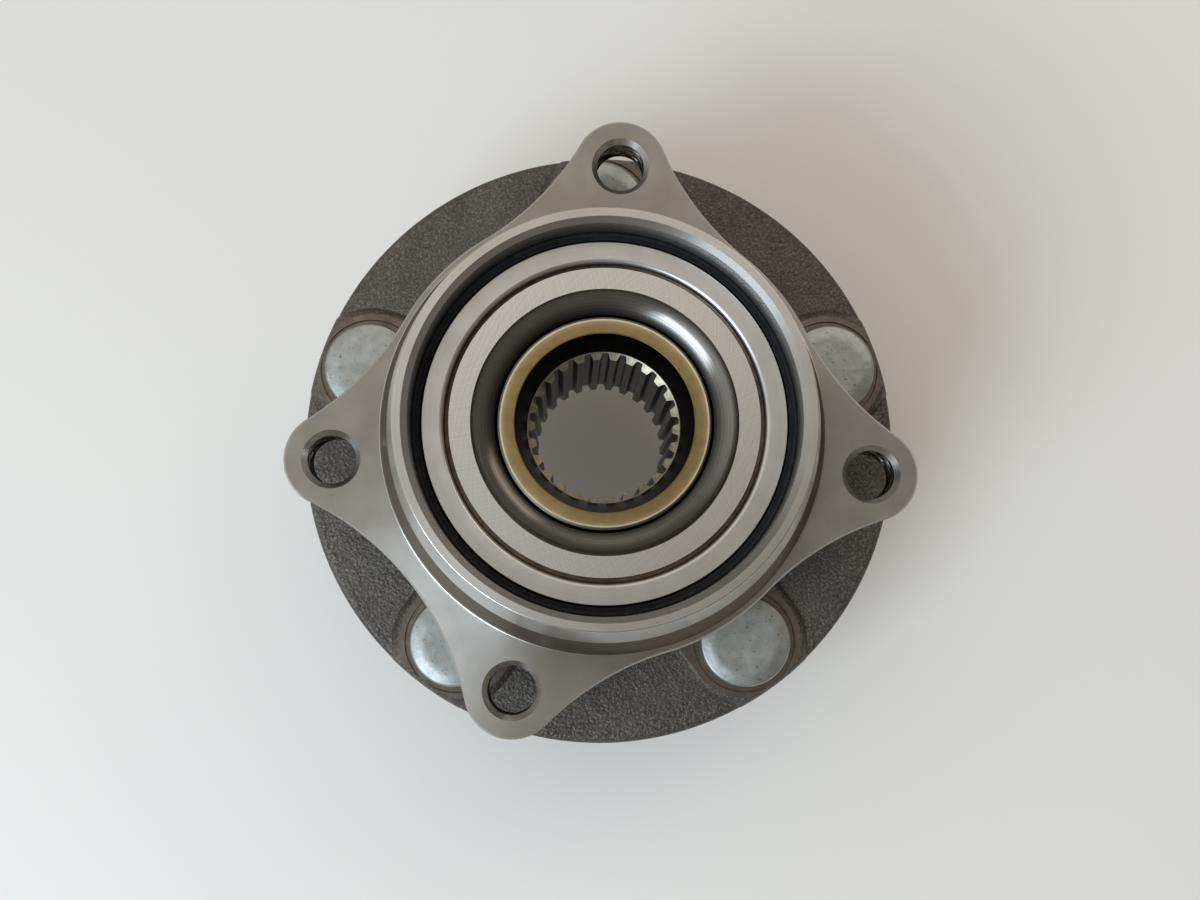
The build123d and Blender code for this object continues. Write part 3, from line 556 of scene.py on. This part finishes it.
def hub_finish(face):
    """Finish of a face of the hub, by its place and, for the tooth ends and the pads, by its slope."""
    x, y, z = face.center / MM
    radius = hypot(x, y)
    in_counterbore = radius < COUNTERBORE_RADIUS - SAME_FACE
    if in_counterbore and TOOTH_ENDS_FROM < z - HUB_TOP < TOOTH_ENDS_TO and face.normal.z > FACES_UP:
        return tooth_ends
    if in_counterbore and z > NUT_SEAT + SAME_FACE:
        return broached_steel
    if radius < CONE_RADIUS - SAME_FACE and z > HUB_TOP + CONE_END:
        return bore_cone_shade
    if z > HUB_TOP + NOSE_FACE:
        return nose_steel
    if z < RELIEF_DEPTH + SAME_FACE or radius < NECK_RADIUS:
        return faced_steel
    if z > SEAT_FACE - SAME_FACE and face.normal.z > LIES_FLAT:
        return pad_band
    return raw_forging


hub_finishes = [raw_forging, faced_steel, nose_steel, bore_cone_shade, broached_steel, tooth_ends, pad_band]
give_finishes(hub, hub_finishes, hub_finish)
smooth_faces(hub)
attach(hub, "rotor")
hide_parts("hub")


# ---- Wheel studs ----
# Five cold-headed steel studs, zinc plated and pressed into the flange from the inboard side. The round head
# lies in its seat, and the threaded end, which carries the wheel nut, stands out beyond the wheel face.
STUD_TIP = bench_height / MM
HEAD_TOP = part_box("wheel_stud_1")[1][2] / MM
HEAD_RADIUS = 10.5
CROWN_RADIUS, CROWN_ROUNDING = 7.6, 8.0
HEAD_BEVEL, HEAD_BEVEL_TOP, HEAD_BEVEL_END, BEVEL_ROUNDING = 0.35, 0.6, 1.1, 0.6
HEAD_FOOT, FOOT_EDGE_ROUNDING = 0.3, 0.2
SHANK_RADIUS, SHANK_END, NECK_END = 6.42, 0.4, -0.2
THREAD_RADIUS, THREAD_DEPTH, THREAD_PITCH, THREAD_START = 6.0, 0.8, 1.5, -2.5
TIP_CHAMFER = 1.2
STUD_STEPS, ROWS_PER_PITCH, RUN_OUT_ROWS = 64, 8, 16

head_rows = rounded([
    (0, HEAD_TOP), (CROWN_RADIUS, HEAD_TOP, CROWN_ROUNDING),
    (HEAD_RADIUS - HEAD_BEVEL, HEAD_TOP - HEAD_BEVEL_TOP, BEVEL_ROUNDING),
    (HEAD_RADIUS, HEAD_TOP - HEAD_BEVEL_END), (HEAD_RADIUS, SEAT_FACE + HEAD_FOOT, FOOT_EDGE_ROUNDING),
    (HEAD_RADIUS - HEAD_FOOT, SEAT_FACE),
    (SHANK_RADIUS, SEAT_FACE), (SHANK_RADIUS, SHANK_END),
    (THREAD_RADIUS, NECK_END), (THREAD_RADIUS, THREAD_START),
], closed=False)
thread_rows = []
thread_steps = int((THREAD_START - STUD_TIP) / THREAD_PITCH * ROWS_PER_PITCH)
for step in range(thread_steps + 1):
    height = THREAD_START + (STUD_TIP - THREAD_START) * step / thread_steps
    crest = min(THREAD_RADIUS, THREAD_RADIUS - TIP_CHAMFER + height - STUD_TIP)
    run_out = min(1, step / RUN_OUT_ROWS)
    thread_rows.append((crest, height, THREAD_DEPTH * run_out * (crest / THREAD_RADIUS)))
stud_rows = head_rows + thread_rows + [(0, STUD_TIP)]
stud_mesh = turned_mesh("wheel_stud", stud_rows, closed=False, steps=STUD_STEPS, pitch=THREAD_PITCH)

zinc_plate, zinc_shader = metal("zinc_plate", roughness=0.47)
zinc_tone = between(zinc_plate, blotches(zinc_plate, 3.0, 5), (0.30, 0.308, 0.285), (0.43, 0.437, 0.408))
zinc_pits = blotches(zinc_plate, 0.7, 3)
zinc_specks = between(zinc_plate, zinc_pits, (0.34, 0.33, 0.31), (1, 1, 1), low=0.27, high=0.36)
coloured(zinc_plate, zinc_shader, zinc_tone, over=zinc_specks)
relief(zinc_plate, zinc_shader, blotches(zinc_plate, 1.1), depth=0.05)
stud_mesh.materials.append(zinc_plate)
for number, angle in enumerate(stud_angles, start=1):
    stud = put(f"stud_{number}", stud_mesh.copy())
    stud.data.transform(around(STUD_CIRCLE, angle))
    smooth_faces(stud, sharp_angle=40)
    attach(stud, "rotor")
    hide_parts(f"wheel_stud_{number}")


# ---- Outer ring ----
# Forged bearing steel, turned all over: a pilot that enters the knuckle, four ears tapped for the knuckle
# bolts, and the land between the two outer raceways. The ears stand unevenly on long hollow flanks.
PILOT_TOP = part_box("outer_ring")[1][2] / MM
RING_BOTTOM, BOTTOM_RADIUS, BOTTOM_CHAMFER = 12.6, 44.0, 1.2
BARREL_RADIUS, BARREL_FILLET = 45.2, 3.0
BODY_RADIUS, BODY_CHAMFER, BORE_RADIUS = 49.9, 0.4, 40.2
EAR_FACE, EAR_THICKNESS, EAR_EDGE = 37.4, 11.0, 0.45
FOOT_RADIUS, FOOT_ROUNDING, FOOT_RISE = 48.5, 1.0, 2.9
PILOT_RADIUS, PILOT_LEAD_IN, PILOT_ROUNDING = 45.6, 12.0, 1.0
PILOT_TIP_RADIUS, TIP_ROUNDING = 43.2, 0.3
PILOT_BORE_CHAMFER = 1.2
LAND_RADIUS, LAND_TOP, LAND_BOTTOM = 35.8, 40.15, 24.95
BODY_STEPS = 360

ear_back = EAR_FACE - EAR_THICKNESS
ring_rows = rounded([
    (BORE_RADIUS, RING_BOTTOM), (BOTTOM_RADIUS, RING_BOTTOM), (BARREL_RADIUS, RING_BOTTOM + BOTTOM_CHAMFER),
    (BARREL_RADIUS, ear_back, BARREL_FILLET),
    (BODY_RADIUS - BODY_CHAMFER, ear_back), (BODY_RADIUS, ear_back + BODY_CHAMFER),
    (BODY_RADIUS, EAR_FACE - BODY_CHAMFER), (BODY_RADIUS - BODY_CHAMFER, EAR_FACE),
    (FOOT_RADIUS, EAR_FACE, FOOT_ROUNDING), (PILOT_RADIUS, EAR_FACE + FOOT_RISE),
    (PILOT_RADIUS, PILOT_TOP - PILOT_LEAD_IN, PILOT_ROUNDING), (PILOT_TIP_RADIUS, PILOT_TOP, TIP_ROUNDING),
    (BORE_RADIUS + PILOT_BORE_CHAMFER, PILOT_TOP), (BORE_RADIUS, PILOT_TOP - PILOT_BORE_CHAMFER),
    (BORE_RADIUS, LAND_TOP), (LAND_RADIUS, LAND_TOP), (LAND_RADIUS, LAND_BOTTOM), (BORE_RADIUS, LAND_BOTTOM),
])
outer_ring = put("outer_ring_turned", turned_mesh("outer_ring_turned", ring_rows, steps=BODY_STEPS))

EAR_CIRCLE, EAR_RADIUS, FLANK_RADIUS = 59.3, 10.3, 62.0
EAR_MIRROR_ANGLE, NEAR_EAR, FAR_EAR = 218.5, 32.3, 132.3
NEAR_EARS_BRIDGE, FIRST_NEAR_EAR = 53.1, 1
BRIDGE_STEPS, FLANK_STEPS, WAIST_STEPS, EAR_STEPS = 60, 30, 16, 40
ear_angles = [EAR_MIRROR_ANGLE + offset for offset in (-FAR_EAR, -NEAR_EAR, NEAR_EAR, FAR_EAR)]


def flat_at(radius, angle):
    return Vector((radius * cos(radians(angle)), radius * sin(radians(angle))))


def bearing(way):
    """Angle of a flat vector from the X axis, in radians and counted anticlockwise."""
    return -Vector((1, 0)).angle_signed(way)


def arc_points(centre, radius, start, end, steps):
    """Points from one angle to another about a centre, in radians, the last one left out."""
    angles = [start + (end - start) * step / steps for step in range(steps)]
    return [centre + Vector((cos(angle), sin(angle))) * radius for angle in angles]


def short_arc(centre, start, end, steps):
    """Arc between two points the short way round their centre."""
    first, last = start - centre, end - centre
    begin = bearing(first)
    return arc_points(centre, first.length, begin, begin - first.angle_signed(last), steps)


def ear_edge_towards(ear, centre):
    """Point where the round end of an ear runs into a hollow arc about a centre."""
    return ear + (centre - ear).normalized() * EAR_RADIUS


flank_reach, tip_reach = BODY_RADIUS + FLANK_RADIUS, EAR_RADIUS + FLANK_RADIUS
flank_cosine = (flank_reach**2 + EAR_CIRCLE**2 - tip_reach**2) / (2 * flank_reach * EAR_CIRCLE)
FLANK_ANGLE = Vector((flank_cosine, sqrt(1 - flank_cosine**2))).angle(Vector((1, 0))) * 180 / pi
half_chord = EAR_CIRCLE * sin(radians(NEAR_EAR))
bridge_rise = NEAR_EARS_BRIDGE - EAR_CIRCLE * cos(radians(NEAR_EAR))
bridge_radius = (half_chord**2 + bridge_rise**2 - EAR_RADIUS**2) / (2 * (EAR_RADIUS - bridge_rise))


def bridge_side(here, there, angle, following):
    """Side of the plate between the two near ears: one hollow arc."""
    centre = flat_at(NEAR_EARS_BRIDGE + bridge_radius, (angle + following) / 2)
    leave, arrive = ear_edge_towards(here, centre), ear_edge_towards(there, centre)
    return leave, short_arc(centre, leave, arrive, BRIDGE_STEPS), arrive


def flank_side(here, there, angle, following):
    """Side between ears that stand apart: a hollow flank down to the body, round it, and up again."""
    leaving, arriving = angle + FLANK_ANGLE, following - FLANK_ANGLE
    first, second = flat_at(flank_reach, leaving), flat_at(flank_reach, arriving)
    land, rise = flat_at(BODY_RADIUS, leaving), flat_at(BODY_RADIUS, arriving)
    leave, arrive = ear_edge_towards(here, first), ear_edge_towards(there, second)
    run = short_arc(first, leave, land, FLANK_STEPS)
    run += short_arc(Vector((0, 0)), land, rise, WAIST_STEPS)
    run += short_arc(second, rise, arrive, FLANK_STEPS)
    return leave, run, arrive


ear_centres = [flat_at(EAR_CIRCLE, angle) for angle in ear_angles]
sides = []
for index, angle in enumerate(ear_angles):
    last_ear = index == len(ear_angles) - 1
    following = ear_angles[0] + 360 if last_ear else ear_angles[index + 1]
    side_between = bridge_side if index == FIRST_NEAR_EAR else flank_side
    sides.append(side_between(ear_centres[index], flat_at(EAR_CIRCLE, following), angle, following))
ear_outline = []
for index, centre in enumerate(ear_centres):
    start, end = sides[index - 1][2] - centre, sides[index][0] - centre
    begin = bearing(start)
    sweep = -start.angle_signed(end) % (2 * pi)
    ear_outline += arc_points(centre, EAR_RADIUS, begin, begin + sweep, EAR_STEPS) + sides[index][1]


def drawn_in(outline, distance):
    """The outline moved inward by a distance."""
    moved = []
    for index, point in enumerate(outline):
        along = (outline[(index + 1) % len(outline)] - outline[index - 1]).normalized()
        moved.append((point.x - along.y * distance, point.y + along.x * distance))
    return moved


full_outline, edge_outline = drawn_in(ear_outline, 0), drawn_in(ear_outline, EAR_EDGE)
ear_ring = put("ear_ring", plate_mesh("ear_plate", [
    (edge_outline, ear_back), (full_outline, ear_back + EAR_EDGE),
    (full_outline, EAR_FACE - EAR_EDGE), (edge_outline, EAR_FACE),
]))
CORE_INSET, CORE_MARGIN = 1.2, 2
CORE_RADIUS = BODY_RADIUS - CORE_INSET
core_rows = [
    (0, ear_back - CORE_MARGIN), (CORE_RADIUS, ear_back - CORE_MARGIN),
    (CORE_RADIUS, EAR_FACE + CORE_MARGIN), (0, EAR_FACE + CORE_MARGIN),
]
combine(ear_ring, turned_mesh("core", core_rows, closed=False), "DIFFERENCE")
combine(outer_ring, ear_ring.data, "UNION")
bpy.data.objects.remove(ear_ring)

HOLE_MOUTH, HOLE_CONE_END = (7.4, 1.0), (5.0, 1.4)
mouth_rows = [
    (0, EAR_FACE - HOLE_CONE_END[1]), (HOLE_CONE_END[0], EAR_FACE - HOLE_CONE_END[1]),
    (HOLE_MOUTH[0], EAR_FACE + HOLE_MOUTH[1]), (0, EAR_FACE + HOLE_MOUTH[1]),
]
back_rows = [
    (0, ear_back - HOLE_MOUTH[1]), (HOLE_MOUTH[0], ear_back - HOLE_MOUTH[1]),
    (HOLE_CONE_END[0], ear_back + HOLE_CONE_END[1]), (0, ear_back + HOLE_CONE_END[1]),
]
chamfers = [turned_mesh("chamfer", rows, closed=False, steps=96) for rows in (mouth_rows, back_rows)]
combine(outer_ring, repeated(chamfers, EAR_CIRCLE, ear_angles), "DIFFERENCE")

TAP_RADIUS, TAP_DEPTH = 5.25, 0.75
TAP_START, TAP_FADE, TAP_BEYOND = 1.0, 1.5, 1.5
TAP_ROWS, TAP_STEPS = 72, 64
tap_rows = [(0, ear_back - TAP_BEYOND)]
tap_length = EAR_THICKNESS + 2 * TAP_BEYOND
for step in range(TAP_ROWS + 1):
    height = ear_back - TAP_BEYOND + tap_length * step / TAP_ROWS
    depth = TAP_DEPTH * min(1, max(0, (EAR_FACE - TAP_START - height) / TAP_FADE))
    tap_rows.append((TAP_RADIUS + depth, height, depth))
tap_rows.append((0, EAR_FACE + TAP_BEYOND))
tap = turned_mesh("tap", tap_rows, closed=False, steps=TAP_STEPS, pitch=THREAD_PITCH)
combine(outer_ring, repeated([tap], EAR_CIRCLE, ear_angles), "DIFFERENCE")

turned_steel, turned_shader = metal("turned_steel", roughness=0.27, anisotropy=0.75)
turned_marks = turning_marks(turned_steel, 0.32)
turned_tone = between(turned_steel, turned_marks, (0.530, 0.510, 0.480), (0.560, 0.540, 0.510))
turned_stains = between(turned_steel, blotches(turned_steel, 16), (0.88, 0.87, 0.85), (1, 1, 1), low=0.35)
coloured(turned_steel, turned_shader, turned_tone, over=turned_stains)
relief(turned_steel, turned_shader, turning_marks(turned_steel, 0.45), depth=0.0009)

tapped_steel, tapped_shader = metal("tapped_steel", roughness=0.22)
tapped_tone = between(tapped_steel, blotches(tapped_steel, 1.5), (0.085, 0.072, 0.060), (0.20, 0.178, 0.155))
coloured(tapped_steel, tapped_shader, tapped_tone)

faced_ears, ears_shader = metal("faced_ears", roughness=0.38, anisotropy=0.9)
ears_tone = between(faced_ears, turning_marks(faced_ears, 0.32), (0.376, 0.356, 0.324), (0.390, 0.370, 0.337))
ears_stains = between(faced_ears, blotches(faced_ears, 9), (0.86, 0.84, 0.82), (1.05, 1.05, 1.05), low=0.35)
coloured(faced_ears, ears_shader, ears_tone, over=ears_stains)

# The pilot's foot is painted dark brown: a painted reflection of the dark pilot wall on the turned fillet.
pilot_foot_painted_reflection, foot_shader = metal("pilot_foot_painted_reflection", roughness=0.32, anisotropy=0.6)
foot_reflection_tone = between(pilot_foot_painted_reflection, turning_marks(pilot_foot_painted_reflection, 0.4), (0.155, 0.134, 0.112), (0.195, 0.170, 0.143))
coloured(pilot_foot_painted_reflection, foot_shader, foot_reflection_tone)

HOLE_REACH = 6.1
THREADS_FROM, THREADS_TO = ear_back + 0.1, EAR_FACE - 0.9


def outer_finish(face):
    """Finish of a face of the outer ring: the pilot's foot with its painted reflection, the threads and the
    ears' flats stand out.
    """
    x, y, z = face.center / MM
    if PILOT_RADIUS < hypot(x, y) < FOOT_RADIUS and SAME_FACE < z - EAR_FACE < FOOT_RISE:
        return pilot_foot_painted_reflection
    in_hole = any(hypot(x - ear.x, y - ear.y) < HOLE_REACH for ear in ear_centres)
    if in_hole and THREADS_FROM < z < THREADS_TO:
        return tapped_steel
    if min(abs(z - EAR_FACE), abs(z - ear_back)) < SAME_FACE:
        return faced_ears
    return turned_steel


give_finishes(outer_ring, [turned_steel, tapped_steel, faced_ears, pilot_foot_painted_reflection], outer_finish)
smooth_faces(outer_ring)
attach(outer_ring, "fixed")
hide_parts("outer_ring")


# ---- Inner ring ----
# Through-hardened bearing steel, pressed on the hub's nose. The inboard face, which the drive shaft bears on,
# is ground, and the mouth is turned hollow to clear the shaft's fillet, where it is darker and polished; its
# colour is painted down to near black towards the bore, as painted shade beside the hub's nose.
RING_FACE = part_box("inner_ring")[1][2] / MM
RING_BORE, RING_START = 22.35, 32.6
MOUTH_RADIUS, MOUTH_DEPTH, MOUTH_STEPS = 27.85, 6.2, 24
HOLLOW_RADIUS, HOLLOW_CENTRE, THROAT_WIDTH = 9.0, 20.6, 0.65
FACE_EDGE, FACE_CHAMFER, SEAL_LAND = 32.3, 1.0, 33.25
MOUTH_EDGE, BORE_SHOWN = 0.02, 0.5

hollow_height = RING_FACE + sqrt(HOLLOW_RADIUS**2 - (MOUTH_RADIUS - HOLLOW_CENTRE)**2)
throat_radius = RING_BORE + THROAT_WIDTH
inner_rows = [(RING_BORE, RING_FACE - MOUTH_DEPTH)]
for step in range(MOUTH_STEPS + 1):
    radius = throat_radius + (MOUTH_RADIUS - throat_radius) * step / MOUTH_STEPS
    inner_rows.append((radius, hollow_height - sqrt(HOLLOW_RADIUS**2 - (radius - HOLLOW_CENTRE)**2)))
inner_rows += [
    (FACE_EDGE, RING_FACE), (SEAL_LAND, RING_FACE - FACE_CHAMFER), (SEAL_LAND, LAND_TOP),
    (SHOULDER_RADIUS, LAND_TOP), (SHOULDER_RADIUS, RING_START), (RING_BORE, RING_START),
]
inner_ring = put("inner_ring_ground", turned_mesh("inner_ring_ground", inner_rows))

FIRST_ARCS_CENTRE, SECOND_ARCS_CENTRE = (38, -14), (-34, 22)
ARCS_RANGE = (0.28, 0.72)
ground_steel, ground_shader = metal("ground_steel", roughness=0.26, anisotropy=0.35)
first_marks = lines(ground_steel, radius_in(ground_steel, FIRST_ARCS_CENTRE), 0.30)
first_arcs = between(ground_steel, first_marks, (0.545, 0.525, 0.495), (0.610, 0.590, 0.560), *ARCS_RANGE)
second_marks = lines(ground_steel, radius_in(ground_steel, SECOND_ARCS_CENTRE), 0.36)
second_arcs = between(ground_steel, second_marks, (0.92, 0.92, 0.92), (1.02, 1.02, 1.02), *ARCS_RANGE)
coloured(ground_steel, ground_shader, first_arcs, over=second_arcs)

mouth_steel, mouth_shader = metal("mouth_steel", roughness=0.20, anisotropy=0.3)
# The mouth's colour fades to near black towards the bore: painted shade in the gap beside the hub's nose,
# over darker polished steel.
mouth_tone_and_shade = spread(mouth_steel, radius_in(mouth_steel), RING_BORE * MM, MOUTH_RADIUS * MM, [
    (0, (0.012, 0.011, 0.010)), (0.16, (0.030, 0.028, 0.025)), (0.42, (0.125, 0.115, 0.103)),
    (0.75, (0.25, 0.234, 0.212)), (1, (0.30, 0.28, 0.255)),
])
mouth_marks = between(mouth_steel, turning_marks(mouth_steel, 0.25), (0.75, 0.75, 0.75), (1.2, 1.2, 1.2))
coloured(mouth_steel, mouth_shader, mouth_tone_and_shade, over=mouth_marks)

brown_edge, brown_shader = metal("brown_edge", roughness=0.4)
brown_tone = between(brown_edge, blotches(brown_edge, 3), (0.09, 0.065, 0.045), (0.20, 0.155, 0.11))
coloured(brown_edge, brown_shader, brown_tone)


def inner_finish(face):
    """Finish of a face of the inner ring: brown at the edge, dark with painted shade in the mouth and ground
    between them.
    """
    x, y, z = face.center / MM
    radius = hypot(x, y)
    if radius > FACE_EDGE:
        return brown_edge
    if radius < MOUTH_RADIUS - MOUTH_EDGE and z > RING_FACE - MOUTH_DEPTH - BORE_SHOWN:
        return mouth_steel
    return ground_steel


give_finishes(inner_ring, [ground_steel, mouth_steel, brown_edge], inner_finish)
smooth_faces(inner_ring, sharp_angle=35)
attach(inner_ring, "rotor")
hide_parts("inner_ring")


# ---- Inboard seal ----
# A cassette pressed in beside the balls: a stainless slinger turns with the inner ring, and black nitrile
# rubber, bonded to a steel case in the outer ring, fills the narrow band between them.
SLINGER_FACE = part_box("inboard_seal_slinger")[1][2] / MM
SLEEVE_RADIUS, SLEEVE_LENGTH, SHEET = 33.35, 4.6, 0.8
SLEEVE_OUTSIDE, SLINGER_EDGE = 34.1, 37.9
BEND_INSIDE, BEND_OUTSIDE, EDGE_BREAK = 0.4, 1.0, 0.15

slinger_rows = rounded([
    (SLEEVE_RADIUS, SLINGER_FACE - SLEEVE_LENGTH), (SLEEVE_OUTSIDE, SLINGER_FACE - SLEEVE_LENGTH),
    (SLEEVE_OUTSIDE, SLINGER_FACE - SHEET, BEND_INSIDE), (SLINGER_EDGE, SLINGER_FACE - SHEET),
    (SLINGER_EDGE, SLINGER_FACE, EDGE_BREAK), (SLEEVE_RADIUS, SLINGER_FACE, BEND_OUTSIDE),
])
slinger = put("slinger_pressed", turned_mesh("slinger_pressed", slinger_rows))
stainless, stainless_shader = metal("stainless", roughness=0.33, anisotropy=0.45)
stainless_tone = between(stainless, blotches(stainless, 6, 5), (0.50, 0.482, 0.455), (0.575, 0.555, 0.527))
stainless_marks = between(stainless, turning_marks(stainless, 0.6), (0.93, 0.93, 0.93), (1, 1, 1))
coloured(stainless, stainless_shader, stainless_tone, over=stainless_marks)
slinger.data.materials.append(stainless)
smooth_faces(slinger)
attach(slinger, "rotor")
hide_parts("inboard_seal_slinger")

RUBBER_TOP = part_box("inboard_seal_rubber")[1][2] / MM
RUBBER_BOTTOM, RUBBER_STEP, RUBBER_SHELF = 48.9, 51.1, 49.6
RUBBER_OUTSIDE, CASE_INSIDE = 40.15, 39.4
GROOVE_RADIUS, GROOVE_DEPTH = 39.3, 0.25
RUBBER_INSIDE, LIP_RADIUS = 38.25, 37.0
OUTSIDE_ROUNDING, GROOVE_ROUNDING, INSIDE_ROUNDING = 0.35, 0.3, 0.4

rubber_rows = rounded([
    (CASE_INSIDE, RUBBER_BOTTOM), (CASE_INSIDE, RUBBER_STEP), (RUBBER_OUTSIDE, RUBBER_STEP),
    (RUBBER_OUTSIDE, RUBBER_TOP, OUTSIDE_ROUNDING),
    (GROOVE_RADIUS, RUBBER_TOP - GROOVE_DEPTH, GROOVE_ROUNDING),
    (RUBBER_INSIDE, RUBBER_TOP, INSIDE_ROUNDING), (RUBBER_INSIDE, RUBBER_SHELF),
    (LIP_RADIUS, RUBBER_SHELF), (LIP_RADIUS, RUBBER_BOTTOM),
])
rubber_band = put("seal_rubber_band", turned_mesh("seal_rubber_band", rubber_rows))
nitrile, nitrile_shader = surface("nitrile", roughness=0.55)
nitrile_shader.inputs["Specular IOR Level"].default_value = 0.15
nitrile_tone = between(nitrile, blotches(nitrile, 1.4), (0.006, 0.006, 0.007), (0.014, 0.014, 0.015))
coloured(nitrile, nitrile_shader, nitrile_tone)
relief(nitrile, nitrile_shader, blotches(nitrile, 0.5, 3), depth=0.02)
rubber_band.data.materials.append(nitrile)
smooth_faces(rubber_band)
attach(rubber_band, "fixed")
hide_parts("inboard_seal_rubber")


# ---- Balls, cages and inner seal parts ----
# Lapped balls in snap cages of brown glass-filled polyamide, and the pressed cases that hold the seals.
# They sit inside the closed unit; the outboard rubber shows only as a dark line beside the flange.
lapped_steel, lapped_shader = metal("lapped_steel", roughness=0.06)
lapped_tone = between(lapped_steel, blotches(lapped_steel, 4, 3), (0.74, 0.74, 0.75), (0.80, 0.80, 0.81))
coloured(lapped_steel, lapped_shader, lapped_tone)

polyamide, polyamide_shader = surface("polyamide", roughness=0.5)
polyamide_tone = between(polyamide, blotches(polyamide, 2, 5), (0.13, 0.10, 0.06), (0.20, 0.16, 0.10))
coloured(polyamide, polyamide_shader, polyamide_tone)

pressed_sheet, sheet_shader = metal("pressed_sheet", roughness=0.35)
sheet_tone = between(pressed_sheet, blotches(pressed_sheet, 3), (0.44, 0.44, 0.44), (0.54, 0.54, 0.54))
coloured(pressed_sheet, sheet_shader, sheet_tone)

inside_finishes = {
    "_ball_": lapped_steel,
    "_cage": polyamide,
    "_seal_case": pressed_sheet,
    "outboard_seal_rubber": nitrile,
}
for name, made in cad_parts.items():
    for part, finish in inside_finishes.items():
        if part in name:
            made.data.materials.clear()
            made.data.materials.append(finish)
